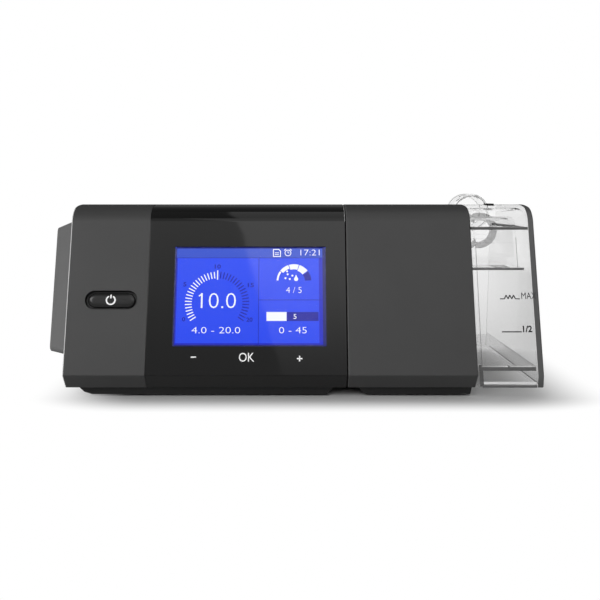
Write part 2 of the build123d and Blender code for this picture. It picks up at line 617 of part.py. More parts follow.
with BuildPart() as board_parts:
    parts_z = BOARD_Z + BOARD_THICK
    for (along, across), size in BOARD_CHIPS:
        block(around(board_x[0] + along, size[0]), around(board_y[0] + across, size[1]),
              (parts_z, parts_z + size[2]))
    for step in range(3):
        post(front_post_x - POST_FOOT * POST_RADIUS - CAPACITOR_PITCH * (step + 0.5),
             board_y[0] + CAPACITOR_BACK, (parts_z, parts_z + CAPACITOR_HEIGHT), CAPACITOR_RADIUS)

with BuildPart() as speaker:
    speaker_x, speaker_y = board_x[1] - SPEAKER_INSET, board_y[0] + SPEAKER_INSET
    speaker_top = parts_z + SPEAKER_HEIGHT
    post(speaker_x, speaker_y, (parts_z, speaker_top), SPEAKER_RADIUS)
    post(speaker_x, speaker_y, (speaker_top - SPEAKER_MOUTH[1], speaker_top + 1), SPEAKER_MOUTH[0],
         mode=Mode.SUBTRACT)

with BuildPart() as case_screws:
    for x, y in MAIN_SCREWS:
        screw(x, y)

with BuildPart() as main_feet:
    feet = corner_places(plinth[0] + PLINTH_LEFT_SLOPE, plinth[1] - PLINTH_SLOPE,
                         *PLINTH_Y, FOOT_INSET)
    for x, y in feet:
        post(x, y, (0, FOOT_HEIGHT), FOOT_RADIUS)

# ---------------------------------------------------------------- main unit: blower
DUCT_PLANE = Plane.XY.offset(DUCT_Z)


def volute():
    """Whole scroll case with its spout, before it is parted at the spout's middle."""
    post(BLOWER_X, BLOWER_Y, (VOLUTE_BOTTOM_Z, VOLUTE_TOP_Z), VOLUTE_RADIUS)
    rod_x((BLOWER_X, SPOUT_END), DUCT_Y, DUCT_Z, DUCT_OUTSIDE)
    post(BLOWER_X, BLOWER_Y, (VOLUTE_BOTTOM_Z + THIN_WALL, VOLUTE_TOP_Z - THIN_WALL),
         VOLUTE_RADIUS - THIN_WALL, mode=Mode.SUBTRACT)
    rod_x((BLOWER_X, SPOUT_END + 1), DUCT_Y, DUCT_Z, DUCT_BORE, mode=Mode.SUBTRACT)


with BuildPart() as blower_lower:
    volute()
    split(bisect_by=DUCT_PLANE.offset(-JOIN_GAP / 2), keep=Keep.BOTTOM)
    for x, y in blower_ears:
        post(x, y, (VOLUTE_BOTTOM_Z, VOLUTE_BOTTOM_Z + EAR_THICK), EAR_RADIUS)
    tube_radius = BEARING_RADIUS + BEARING_TUBE_WALL
    post(BLOWER_X, BLOWER_Y, (BEARING_TUBE_BOTTOM_Z, VOLUTE_BOTTOM_Z + THIN_WALL), tube_radius)
    post(BLOWER_X, BLOWER_Y, (BEARING_TUBE_BOTTOM_Z - 1, VOLUTE_BOTTOM_Z + THIN_WALL + 1),
         BEARING_RADIUS + RUNNING, mode=Mode.SUBTRACT)
    for x, y in blower_ears:
        post(x, y, (VOLUTE_BOTTOM_Z - 1, VOLUTE_BOTTOM_Z + EAR_THICK + 1), SCREW_RADIUS + FIT,
             mode=Mode.SUBTRACT)

with BuildPart() as blower_upper:
    volute()
    split(bisect_by=DUCT_PLANE.offset(JOIN_GAP / 2), keep=Keep.TOP)
    post(BLOWER_X, BLOWER_Y, (VOLUTE_TOP_Z - THIN_WALL - 1, VOLUTE_TOP_Z + 1), INLET_RADIUS,
         mode=Mode.SUBTRACT)

with BuildPart() as blower_mounts:
    for x, y in blower_ears:
        post(x, y, (VOLUTE_BOTTOM_Z - GROMMET_HEIGHT, VOLUTE_BOTTOM_Z), GROMMET_RADIUS)
        post(x, y, (VOLUTE_BOTTOM_Z - GROMMET_HEIGHT - 1, VOLUTE_BOTTOM_Z + 1),
             SCREW_RADIUS + JOIN_GAP, mode=Mode.SUBTRACT)

impeller_bottom = VOLUTE_BOTTOM_Z + THIN_WALL + IMPELLER_GAP
impeller_top = VOLUTE_TOP_Z - THIN_WALL - IMPELLER_GAP
with BuildPart() as impeller:
    post(BLOWER_X, BLOWER_Y, (impeller_bottom, impeller_bottom + IMPELLER_DISC), IMPELLER_RADIUS)
    post(BLOWER_X, BLOWER_Y, (impeller_bottom, impeller_top - 4), HUB_RADIUS)
    with BuildSketch(Plane(origin=(BLOWER_X, BLOWER_Y, impeller_bottom + IMPELLER_DISC / 2))):
        with PolarLocations((HUB_RADIUS + IMPELLER_RADIUS) / 2, BLADE_COUNT):
            Rectangle(IMPELLER_RADIUS - HUB_RADIUS, BLADE_THICK, rotation=-BLADE_SWEEP)
    extrude(amount=impeller_top - impeller_bottom - IMPELLER_DISC / 2)
    post(BLOWER_X, BLOWER_Y, (impeller_bottom - 1, impeller_top + 1), SHAFT_RADIUS + RUNNING,
         mode=Mode.SUBTRACT)

with BuildPart() as motor_shaft:
    post(BLOWER_X, BLOWER_Y, (SHAFT_BOTTOM_Z, impeller_top - 4), SHAFT_RADIUS)

with BuildPart() as motor_bearings:
    for bottom in (BEARING_TUBE_BOTTOM_Z + 1, VOLUTE_BOTTOM_Z + THIN_WALL - BEARING_HEIGHT - 0.5):
        post(BLOWER_X, BLOWER_Y, (bottom, bottom + BEARING_HEIGHT), BEARING_RADIUS)
        post(BLOWER_X, BLOWER_Y, (bottom - 1, bottom + BEARING_HEIGHT + 1),
             SHAFT_RADIUS + RUNNING, mode=Mode.SUBTRACT)

stator_bottom = (BEARING_TUBE_BOTTOM_Z + VOLUTE_BOTTOM_Z - STATOR_HEIGHT) / 2
with BuildPart() as motor_stator:
    with BuildSketch(Plane(origin=(BLOWER_X, BLOWER_Y, stator_bottom))):
        Circle(tube_radius + 2.0)
        with PolarLocations((tube_radius + STATOR_RADIUS) / 2, STATOR_TEETH):
            Rectangle(STATOR_RADIUS - tube_radius, 2.6)
        with PolarLocations(STATOR_RADIUS - 1.2, STATOR_TEETH):
            Rectangle(1.6, 6.4)
        Circle(tube_radius + JOIN_GAP / 2, mode=Mode.SUBTRACT)
    extrude(amount=STATOR_HEIGHT)

rotor_radius = STATOR_RADIUS + ROTOR_GAP + 1.0
rotor_floor = SHAFT_BOTTOM_Z + 1.0
with BuildPart() as motor_rotor:
    post(BLOWER_X, BLOWER_Y, (rotor_floor, rotor_floor + ROTOR_HEIGHT), rotor_radius + ROTOR_WALL)
    post(BLOWER_X, BLOWER_Y, (rotor_floor + ROTOR_WALL, rotor_floor + ROTOR_HEIGHT + 1),
         rotor_radius, mode=Mode.SUBTRACT)
    post(BLOWER_X, BLOWER_Y, (rotor_floor - 1, rotor_floor + ROTOR_WALL + 1),
         SHAFT_RADIUS + RUNNING, mode=Mode.SUBTRACT)

with BuildPart() as outlet_duct:
    duct_end = SEAM - JOIN_GAP
    rod_x((SPOUT_END + JOIN_GAP, duct_end), DUCT_Y, DUCT_Z, DUCT_OUTSIDE)
    rod_x((SPOUT_END - 1, duct_end + 1), DUCT_Y, DUCT_Z, DUCT_BORE, mode=Mode.SUBTRACT)

# ---------------------------------------------------------------- main unit: intake and rear panel
muffler_x = (LEFT_END + WALL + JOIN_GAP, LEFT_END + WALL + JOIN_GAP + MUFFLER_WIDTH)
muffler_y = (FILTER_Y - MUFFLER_FRONT, BLOWER_Y - MUFFLER_REAR)
arm_y = around(BLOWER_Y, 2 * (INLET_RADIUS + THIN_WALL))
arm_z = (VOLUTE_TOP_Z + JOIN_GAP, MUFFLER_TOP_Z)
with BuildPart() as intake_muffler:
    block(muffler_x, muffler_y, (MUFFLER_BOTTOM_Z, MUFFLER_TOP_Z))
    block((muffler_x[0] + 1, BLOWER_X + INLET_RADIUS + THIN_WALL), arm_y, arm_z)
    block((muffler_x[0] + THIN_WALL, muffler_x[1] - THIN_WALL),
          (muffler_y[0] + THIN_WALL, muffler_y[1] - THIN_WALL),
          (MUFFLER_BOTTOM_Z + THIN_WALL, MUFFLER_TOP_Z - THIN_WALL), mode=Mode.SUBTRACT)
    block((muffler_x[0] + THIN_WALL, BLOWER_X + INLET_RADIUS),
          (arm_y[0] + THIN_WALL, arm_y[1] - THIN_WALL),
          (arm_z[0] + THIN_WALL, arm_z[1] - THIN_WALL), mode=Mode.SUBTRACT)
    post(BLOWER_X, BLOWER_Y, (arm_z[0] - 1, arm_z[0] + THIN_WALL + 1), INLET_RADIUS - 1.5,
         mode=Mode.SUBTRACT)
    block((muffler_x[0] - 1, muffler_x[0] + THIN_WALL + 1),
          around(FILTER_Y, FILTER_SIZE[0] - 2 * FILTER_LEDGE - 4),
          around(FILTER_Z, FILTER_SIZE[1] - 2 * FILTER_LEDGE - 4), mode=Mode.SUBTRACT)

with BuildPart() as muffler_foam:
    foam_x = (muffler_x[1] - THIN_WALL - JOIN_GAP - FOAM_THICK, muffler_x[1] - THIN_WALL - JOIN_GAP)
    block(foam_x, (muffler_y[0] + THIN_WALL + FIT, muffler_y[1] - THIN_WALL - FIT),
          (MUFFLER_BOTTOM_Z + THIN_WALL + JOIN_GAP, arm_z[0] - 4))

with BuildPart() as intake_filter:
    block((LEFT_END - JOIN_GAP - FILTER_SIZE[2], LEFT_END - JOIN_GAP),
          around(FILTER_Y, FILTER_SIZE[0]), around(FILTER_Z, FILTER_SIZE[1]))


def intake_section(x, draft, grow=0.0):
    """Side view of the intake cover at x; draft runs from 0 at its foot to 1 at its crown."""
    low, high = INTAKE_BOTTOM_Z - grow, INTAKE_TOP_Z - INTAKE_DRAFT_TOP * draft + grow
    start = Y_FRONT + INTAKE_BACK + INTAKE_DRAFT_FRONT * draft - grow
    rear = INTAKE_REAR - INTAKE_DRAFT_REAR * draft + grow
    lean_low = (low - FACE_BOTTOM_Z) * FACE_SLOPE
    lean_high = (high - FACE_BOTTOM_Z) * FACE_SLOPE
    with BuildSketch(Plane.YZ.offset(x)) as section:
        with BuildLine():
            Polyline((start + lean_low, low), (start + lean_high, high), (rear, high), (rear, low),
                     close=True)
        make_face()
        fillet(section.vertices(), 2.5 + grow)
    return section.sketch


foot_x = LEFT_END - BODY_GAP
crown_x = LEFT_END - INTAKE_PROUD
with BuildPart() as filter_cover:
    loft([intake_section(foot_x, 0.0), intake_section(crown_x, 1.0)])
    fillet(filter_cover.faces().sort_by(Axis.X)[0].edges(), 0.6)
    loft([intake_section(foot_x + 1, 0.0, -INTAKE_WALL),
          intake_section(crown_x + INTAKE_WALL, 1.0, -INTAKE_WALL)], mode=Mode.SUBTRACT)
    slot_height = FILTER_SIZE[1] - 4
    for step in range(SLOT_COUNT):
        y = FILTER_Y + (step - (SLOT_COUNT - 1) / 2) * SLOT_PITCH
        block((crown_x - 1, crown_x + INTAKE_WALL + 1), around(y, SLOT_WIDTH),
              around(FILTER_Z, slot_height), mode=Mode.SUBTRACT)

with BuildPart() as power_jack:
    jack_x = LEFT_END + JACK_FROM_LEFT
    rod_y(jack_x, (Y_REAR - JACK_DEPTH, Y_REAR - FIT), JACK_Z, JACK_RADIUS)
    rod_y(jack_x, (Y_REAR - JACK_DEPTH + 2, Y_REAR + 1), JACK_Z, JACK_BORE, mode=Mode.SUBTRACT)
    rod_y(jack_x, (Y_REAR - JACK_DEPTH + 1, Y_REAR - 1.5), JACK_Z, JACK_PIN)

card_x = around(LEFT_END + CARD_FROM_LEFT, CARD_SIZE[0])
card_z = around(CARD_Z, CARD_SIZE[2])
card_rear = Y_REAR + CARD_STICKOUT - WALL
card_front = card_rear - CARD_SIZE[1]
with BuildPart() as card_reader:
    reader_rear = Y_REAR - WALL - JOIN_GAP
    block((card_x[0] - BODY_GAP - READER_WALL, card_x[1] + BODY_GAP + READER_WALL),
          (card_front - BODY_GAP - READER_WALL, reader_rear),
          (card_z[0] - BODY_GAP - READER_WALL, card_z[1] + BODY_GAP + READER_WALL))
    block((card_x[0] - BODY_GAP, card_x[1] + BODY_GAP), (card_front - BODY_GAP, reader_rear + 1),
          (card_z[0] - BODY_GAP, card_z[1] + BODY_GAP), mode=Mode.SUBTRACT)

with BuildPart() as data_card:
    block(card_x, (card_front, card_rear), card_z)
    fillet(data_card.edges().filter_by(Axis.Z), 0.8)

socket_y = around(Y_REAR - SOCKET_Y_FROM_REAR, SOCKET_SIZE[1])
socket_z = around(SOCKET_Z, SOCKET_SIZE[2])
pin_places = [Y_REAR - SOCKET_Y_FROM_REAR + (step - (PIN_COUNT - 1) / 2) * PIN_PITCH
              for step in range(PIN_COUNT)]
with BuildPart() as dock_socket:
    block((SEAM - SOCKET_SIZE[0], SEAM - JOIN_GAP), socket_y, socket_z)
    for y in pin_places:
        block((SEAM - PIN_REACH - 1, SEAM + 1), around(y, BLADE_PIN[0] + 2 * BODY_GAP),
              around(SOCKET_Z, BLADE_PIN[1] + 2 * BODY_GAP), mode=Mode.SUBTRACT)

# ---------------------------------------------------------------- humidifier
HUMIDIFIER_SCREWS = screw_places(COVER_LEFT, COVER_RIGHT)
with BuildPart() as humidifier_cover:
    body_bar(COVER_LEFT, COVER_RIGHT)
    fillet(humidifier_cover.faces().sort_by(Axis.X)[0].edges(), END_RADIUS)
    fillet(humidifier_cover.faces().sort_by(Axis.X)[-1].edges(), END_RADIUS)
    body_bar(COVER_LEFT + WALL, COVER_RIGHT - WALL, WALL, mode=Mode.SUBTRACT)
    open_bottom(COVER_LEFT + WALL, COVER_RIGHT - WALL)
    bay_rear = CHAMBER_REAR + BODY_GAP
    body_mouth = (COVER_RIGHT - WALL - 1, COVER_RIGHT + 1)
    with BuildSketch(Plane.YZ.offset(body_mouth[0])) as mouth:
        add(body_outline(WALL))
        with Locations((bay_rear + DEPTH / 2, FACE_BOTTOM_Z)):
            Rectangle(DEPTH, 4 * DEPTH, mode=Mode.SUBTRACT)
    extrude(mouth.sketch, amount=WALL + 2, mode=Mode.SUBTRACT)
    block(body_mouth, (PAN_FRONT, bay_rear), (SHELL_BOTTOM_Z - 1, SHELL_BOTTOM_Z + WALL + 1),
          mode=Mode.SUBTRACT)
    for x, y in HUMIDIFIER_SCREWS:
        if y > bay_rear:
            screw_boss(x, y)
    rod_x((COVER_LEFT - 1, COVER_LEFT + WALL + 1), DUCT_Y, DUCT_Z, DUCT_OUTSIDE + FIT,
          mode=Mode.SUBTRACT)
    block((COVER_LEFT - 1, COVER_LEFT + WALL + 1), (socket_y[0] - FIT, socket_y[1] + FIT),
          (socket_z[0] - FIT, socket_z[1] + FIT), mode=Mode.SUBTRACT)

with BuildPart() as humidifier_base:
    tray_x = (COVER_LEFT + WALL + FIT, COVER_RIGHT - FIT)
    tray_y = (PAN_FRONT + FIT, Y_REAR - WALL - FIT)
    plinth = (COVER_LEFT + PLINTH_SIDE, COVER_RIGHT - FIT - 0.8)
    extrude(plinth_outline(*plinth, PLINTH_SLOPE, 0.8), amount=plinth_depth)
    block((tray_x[0], COVER_RIGHT - WALL - FIT), tray_y, (SHELL_BOTTOM_Z, PAN_TOP_Z))
    block(tray_x, (tray_y[0], bay_rear), (SHELL_BOTTOM_Z, TRAY_RIM_Z))
    well_y = (tray_y[0] + THIN_WALL, bay_rear - THIN_WALL)
    well_x = (COVER_LEFT + PLINTH_SIDE + PLINTH_SLOPE, COVER_RIGHT - 2 * THIN_WALL)
    block(well_x, well_y, (PAN_INSIDE_Z, PAN_TOP_Z + 1), mode=Mode.SUBTRACT)
    for x, y in HUMIDIFIER_SCREWS:
        if y > bay_rear:
            screw_hole(x, y)

with BuildPart() as humidifier_screws:
    for x, y in HUMIDIFIER_SCREWS:
        if y > bay_rear:
            screw(x, y)

with BuildPart() as humidifier_feet:
    feet = corner_places(plinth[0] + PLINTH_SLOPE, plinth[1], *PLINTH_Y, FOOT_INSET)
    for x, y in feet:
        post(x, y, (0, FOOT_HEIGHT), FOOT_RADIUS)

heater_x = (COVER_LEFT + COVER_RIGHT) / 2 + 1.0
heater_y = (Y_FRONT + CHAMBER_REAR) / 2 + 2.0
with BuildPart() as heater_plate:
    flange_top = FRAME_Z[0] - BODY_GAP
    block(around(heater_x, HEATER_SIZE[0]), around(heater_y, HEATER_SIZE[1]),
          (flange_top - HEATER_FLANGE_THICK, HEATER_TOP_Z))
    fillet(heater_plate.edges().filter_by(Axis.Z), 4.0)
    block(around(heater_x, HEATER_SIZE[0] + 2 * HEATER_FLANGE),
          around(heater_y, HEATER_SIZE[1] + 2 * HEATER_FLANGE),
          (flange_top - HEATER_FLANGE_THICK, flange_top))

pad_bottom = FRAME_Z[0] - BODY_GAP - HEATER_FLANGE_THICK - HEATER_PAD_THICK
with BuildPart() as heater_pad:
    block(around(heater_x, HEATER_SIZE[0] - 2), around(heater_y, HEATER_SIZE[1] - 2),
          (pad_bottom, pad_bottom + HEATER_PAD_THICK))

with BuildPart() as heater_frame:
    block(tray_x, (Y_FRONT + WALL + 1.5, bay_rear - FIT), FRAME_Z)
    block(around(heater_x, HEATER_SIZE[0] + 2 * BODY_GAP),
          around(heater_y, HEATER_SIZE[1] + 2 * BODY_GAP), (FRAME_Z[0] - 1, FRAME_Z[1] + 1),
          mode=Mode.SUBTRACT)
    rim = 1.2
    frame_legs = ((tray_x[0], tray_x[0] + rim), (tray_x[1] - rim, tray_x[1]))
    for leg in frame_legs:
        block(leg, (tray_y[0], bay_rear - FIT), (TRAY_RIM_Z, FRAME_Z[1]))

spring_places = corner_places(*around(heater_x, HEATER_SIZE[0]), *around(heater_y, HEATER_SIZE[1]),
                              SPRING_INSET)
spring_bottom = PAN_INSIDE_Z + SPRING_WIRE
spring_height = pad_bottom - PAN_INSIDE_Z - 2 * SPRING_WIRE - JOIN_GAP
with BuildPart() as heater_springs:
    for x, y in spring_places:
        coil = Helix(spring_height / SPRING_TURNS, spring_height, SPRING_RADIUS,
                     center=(x, y, spring_bottom), mode=Mode.PRIVATE)
        with BuildSketch(Plane(origin=coil @ 0, z_dir=coil % 0)) as wire:
            Circle(SPRING_WIRE)
        sweep(wire.sketch, path=coil)

with BuildPart() as inlet_tube:
    inlet_span = (COVER_LEFT + DOCK_SEAL_REACH, CHAMBER_LEFT - INLET_SEAL)
    rod_x(inlet_span, DUCT_Y, DUCT_Z, DUCT_OUTSIDE)
    rod_x((inlet_span[0] - 1, inlet_span[1] + 1), DUCT_Y, DUCT_Z, DUCT_BORE, mode=Mode.SUBTRACT)

with BuildPart() as dock_seal:
    seal_span = (SEAM + BODY_GAP, COVER_LEFT + DOCK_SEAL_REACH - JOIN_GAP)
    rod_x(seal_span, DUCT_Y, DUCT_Z, DUCT_OUTSIDE)
    rod_x((seal_span[0] - 1, seal_span[1] + 1), DUCT_Y, DUCT_Z, DUCT_BORE, mode=Mode.SUBTRACT)

with BuildPart() as inlet_seal:
    seal_span = (CHAMBER_LEFT - INLET_SEAL + JOIN_GAP, CHAMBER_LEFT - BODY_GAP)
    rod_x(seal_span, DUCT_Y, DUCT_Z, DUCT_OUTSIDE + 1.0)
    rod_x((seal_span[0] - 1, seal_span[1] + 1), DUCT_Y, DUCT_Z, DUCT_BORE, mode=Mode.SUBTRACT)

with BuildPart() as dock_plug:
    block((COVER_LEFT + JOIN_GAP, COVER_LEFT + PLUG_LENGTH), socket_y, socket_z)

with BuildPart() as dock_pins:
    for y in pin_places:
        block((SEAM - PIN_REACH, COVER_LEFT + JOIN_GAP), around(y, BLADE_PIN[0]),
              around(SOCKET_Z, BLADE_PIN[1]))

# ---------------------------------------------------------------- water chamber
CHAMBER_TOP_Z = 2 * DEPTH
lid_bottom = LID_SEAM_Z + GASKET_THICK / 2
tub_top = LID_SEAM_Z - GASKET_THICK / 2
panel_left = CHAMBER_RIGHT - END_PANEL


def chamber_bar(x_span, inset, z_span, mode=Mode.ADD, rear=Y_REAR):
    """Stretch of the chamber's outline between two ends and two heights, cut off at the rear."""
    with BuildSketch(Plane.YZ.offset(x_span[0])) as section:
        add(chamber_outline(inset))
        with Locations((0, z_span[1])):
            Rectangle(4 * DEPTH, CHAMBER_TOP_Z, align=(Align.CENTER, Align.MIN), mode=Mode.SUBTRACT)
        with Locations((0, z_span[0])):
            Rectangle(4 * DEPTH, CHAMBER_TOP_Z, align=(Align.CENTER, Align.MAX), mode=Mode.SUBTRACT)
        with Locations((rear, 0)):
            Rectangle(DEPTH, 4 * DEPTH, align=(Align.MIN, Align.CENTER), mode=Mode.SUBTRACT)
    extrude(section.sketch, amount=x_span[1] - x_span[0], mode=mode)


hidden_x = (CHAMBER_LEFT, CHAMBER_SHOULDER + CLEAR_WALL)
shown_x = (CHAMBER_SHOULDER, panel_left - JOIN_GAP)
hidden_inside = (CHAMBER_LEFT + CLEAR_WALL, CHAMBER_SHOULDER + CLEAR_WALL + 1)
shown_inside = (CHAMBER_SHOULDER + CLEAR_WALL, panel_left + 1)
inner_inset = CHAMBER_INSET + CLEAR_WALL
port_notch_z = PORT_Z - PORT_RADIUS - PORT_BOSS

with BuildPart() as chamber_tub:
    chamber_bar(hidden_x, CHAMBER_INSET, (CHAMBER_FLOOR_Z, tub_top))
    chamber_bar(shown_x, 0.0, (SKIRT_BOTTOM_Z, tub_top))
    chamber_bar(hidden_inside, inner_inset, (CHAMBER_FLOOR_Z + FLOOR_THICK, tub_top + 1), Mode.SUBTRACT)
    chamber_bar(shown_inside, CLEAR_WALL, (CHAMBER_FLOOR_Z + FLOOR_THICK, tub_top + 1), Mode.SUBTRACT)
    chamber_bar(shown_inside, CLEAR_WALL, (SKIRT_BOTTOM_Z - 1, CHAMBER_FLOOR_Z), Mode.SUBTRACT)
    block(around(heater_x, PLATE_SIZE[0] - 2), around(heater_y, PLATE_SIZE[1] - 2),
          (CHAMBER_FLOOR_Z - 1, CHAMBER_FLOOR_Z + FLOOR_THICK + 1), mode=Mode.SUBTRACT)
    rod_x((CHAMBER_LEFT - 1, CHAMBER_LEFT + CLEAR_WALL + 1), DUCT_Y, DUCT_Z, DUCT_BORE,
          mode=Mode.SUBTRACT)
    block(around(PORT_X, 2 * (PORT_RADIUS + PORT_BOSS + FIT)),
          (LEDGE_Y - CLEAR_WALL - 1, LEDGE_Y + 1), (port_notch_z - FIT, tub_top + 1),
          mode=Mode.SUBTRACT)

with BuildPart() as hose_port:
    rod_y(PORT_X, (LEDGE_Y - PORT_ROOT, LEDGE_Y + FIT), PORT_Z, PORT_NECK)
    rod_y(PORT_X, (LEDGE_Y + FIT, PORT_END), PORT_Z, PORT_RADIUS)
    ends = hose_port.faces().sort_by(Axis.Y)
    fillet(ends[0].edges() + ends[-1].edges(), PORT_EDGE)

with BuildPart() as chamber_lid:
    chamber_bar(hidden_x, CHAMBER_INSET, (lid_bottom, CHAMBER_TOP_Z))
    chamber_bar(shown_x, 0.0, (lid_bottom, CHAMBER_TOP_Z))
    chamber_bar(hidden_inside, inner_inset, (lid_bottom - 1, CHAMBER_TOP_Z), Mode.SUBTRACT)
    chamber_bar(shown_inside, CLEAR_WALL, (lid_bottom - 1, CHAMBER_TOP_Z), Mode.SUBTRACT)
    block(around(PORT_X, 2 * (PORT_RADIUS + PORT_BOSS)), (LEDGE_Y - CLEAR_WALL, LEDGE_Y),
          (port_notch_z, lid_bottom + 1))
    root_y = LEDGE_Y - PORT_ROOT
    add(hose_port)
    rod_y(PORT_X, (root_y + CLEAR_WALL, PORT_END + 1), PORT_Z, PORT_BORE, mode=Mode.SUBTRACT)
    block(around(PORT_X, 1.6 * PORT_BORE), (root_y - 1, root_y + CLEAR_WALL + 1),
          (PORT_Z - PORT_BORE / 2, PORT_Z), mode=Mode.SUBTRACT)
    latch_low = APEX_Z + LATCH_PROUD - LATCH_SIZE[2]
    block(around(PORT_X, LATCH_SIZE[0] + 2 * FIT), around(APEX_Y, LATCH_SIZE[1] + 2 * FIT),
          (latch_low - JOIN_GAP, APEX_Z + 1), mode=Mode.SUBTRACT)

with BuildPart() as lid_latch:
    block(around(PORT_X, LATCH_SIZE[0]), around(APEX_Y, LATCH_SIZE[1]),
          (latch_low, latch_low + LATCH_SIZE[2]))
    fillet(lid_latch.edges().filter_by(Axis.Z), 1.2)
    fillet(lid_latch.faces().sort_by(Axis.Z)[-1].edges(), 0.3)

with BuildPart() as chamber_gasket:
    gasket_z = (tub_top + JOIN_GAP / 2, lid_bottom - JOIN_GAP / 2)
    chamber_bar(hidden_x, CHAMBER_INSET + 0.3, gasket_z)
    chamber_bar(shown_x, 0.3, gasket_z)
    chamber_bar(hidden_inside, inner_inset - 0.3, gasket_z, Mode.SUBTRACT)
    chamber_bar((shown_inside[0], panel_left - CLEAR_WALL), CLEAR_WALL - 0.3, gasket_z, Mode.SUBTRACT)
    block(around(PORT_X, 2 * (PORT_RADIUS + PORT_BOSS + FIT)),
          (LEDGE_Y - CLEAR_WALL - 2, LEDGE_Y + 1), (gasket_z[0] - 1, gasket_z[1] + 1),
          mode=Mode.SUBTRACT)

with BuildPart() as chamber_end_panel:
    chamber_bar((panel_left, CHAMBER_RIGHT), 0.0, (SKIRT_BOTTOM_Z, CHAMBER_TOP_Z))
    fillet(chamber_end_panel.faces().sort_by(Axis.X)[-1].edges(), END_RADIUS)

with BuildPart() as chamber_base_plate:
    block(around(heater_x, PLATE_SIZE[0] - 2 - 2 * JOIN_GAP),
          around(heater_y, PLATE_SIZE[1] - 2 - 2 * JOIN_GAP),
          (CHAMBER_FLOOR_Z - PLATE_DROP, CHAMBER_FLOOR_Z + FLOOR_THICK))
    block(around(heater_x, PLATE_SIZE[0] + 2), around(heater_y, PLATE_SIZE[1] + 2),
          (CHAMBER_FLOOR_Z + FLOOR_THICK, CHAMBER_FLOOR_Z + FLOOR_THICK + 0.8))

guide_x = (CHAMBER_LEFT + CLEAR_WALL + GUIDE_FROM_INLET, COVER_RIGHT + GUIDE_REACH)
guide_inside = (GUIDE_INSET + GUIDE_THICK, GUIDE_REAR - GUIDE_THICK)
with BuildPart() as air_guide:
    chamber_bar(guide_x, GUIDE_INSET, (GUIDE_FLOOR_Z, CHAMBER_TOP_Z), rear=GUIDE_REAR)
    lower_right = air_guide.edges().filter_by(Axis.Y).group_by(Axis.X)[-1].sort_by(Axis.Z)[0]
    fillet(lower_right, GUIDE_CORNER)
    chamber_bar((guide_x[0] - 1, guide_x[1] - GUIDE_CORNER), guide_inside[0],
                (GUIDE_FLOOR_Z + GUIDE_THICK, CHAMBER_TOP_Z), Mode.SUBTRACT, guide_inside[1])
    chamber_bar((guide_x[1] - GUIDE_CORNER - 1, guide_x[1] - GUIDE_THICK), guide_inside[0],
                (GUIDE_FLOOR_Z + GUIDE_CORNER, CHAMBER_TOP_Z), Mode.SUBTRACT, guide_inside[1])
    chamber_bar((guide_x[0], guide_x[1] + GUIDE_PLATE_LIP), GUIDE_INSET,
                (GUIDE_FLOOR_Z - GUIDE_THICK, GUIDE_FLOOR_Z), rear=GUIDE_REAR)
    rod_y(PORT_X, around(GUIDE_REAR, 4 * GUIDE_THICK), COLLAR_Z, COLLAR_RADII[1],
          mode=Mode.SUBTRACT)

with BuildPart() as guide_collar:
    collar_y = (GUIDE_REAR + JOIN_GAP, GUIDE_REAR + JOIN_GAP + COLLAR_LENGTH)
    rod_y(PORT_X, collar_y, COLLAR_Z, COLLAR_RADII[0])
    rod_y(PORT_X, (collar_y[0] - 1, collar_y[1] + 1), COLLAR_Z, COLLAR_RADII[1], mode=Mode.SUBTRACT)

for part, name in (
    (front_cover, "front_cover"), (display_lens, "display_lens"), (lcd_window, "lcd_window"),
    (lcd_module, "lcd_module"), (display_bracket, "display_bracket"),
    (display_board, "display_board"), (touch_strip, "touch_strip"),
    (power_button, "power_button"), (power_switch, "power_switch"),
    (switch_board, "switch_board"), (rear_case, "rear_case"), (base_pan, "base_pan"),
    (blower_posts, "blower_posts"), (board_standoffs, "board_standoffs"),
    (main_board, "main_board"), (board_parts, "board_parts"), (speaker, "speaker"),
    (case_screws, "case_screws"), (main_feet, "main_feet"),
    (blower_lower, "blower_lower"), (blower_upper, "blower_upper"),
    (blower_mounts, "blower_mounts"), (impeller, "impeller"), (motor_shaft, "motor_shaft"),
    (motor_bearings, "motor_bearings"), (motor_stator, "motor_stator"),
    (motor_rotor, "motor_rotor"), (outlet_duct, "outlet_duct"),
    (intake_muffler, "intake_muffler"), (muffler_foam, "muffler_foam"),
    (intake_filter, "intake_filter"), (filter_cover, "filter_cover"),
    (power_jack, "power_jack"), (card_reader, "card_reader"), (data_card, "data_card"),
    (dock_socket, "dock_socket"), (humidifier_cover, "humidifier_cover"),
    (humidifier_base, "humidifier_base"), (humidifier_screws, "humidifier_screws"),
    (humidifier_feet, "humidifier_feet"), (heater_plate, "heater_plate"),
    (heater_pad, "heater_pad"), (heater_frame, "heater_frame"),
    (heater_springs, "heater_springs"), (inlet_tube, "inlet_tube"), (dock_seal, "dock_seal"),
    (inlet_seal, "inlet_seal"), (dock_plug, "dock_plug"), (dock_pins, "dock_pins"),
    (chamber_tub, "chamber_tub"), (chamber_lid, "chamber_lid"),
    (chamber_gasket, "chamber_gasket"), (chamber_end_panel, "chamber_end_panel"),
    (chamber_base_plate, "chamber_base_plate"), (air_guide, "air_guide"),
    (guide_collar, "guide_collar"), (lid_latch, "lid_latch"),
):
    save(part, name)
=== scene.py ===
"""Looks of the bedside breathing-therapy machine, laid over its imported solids."""

import json
import math

import bmesh
import bpy
from mathutils import Matrix, Vector

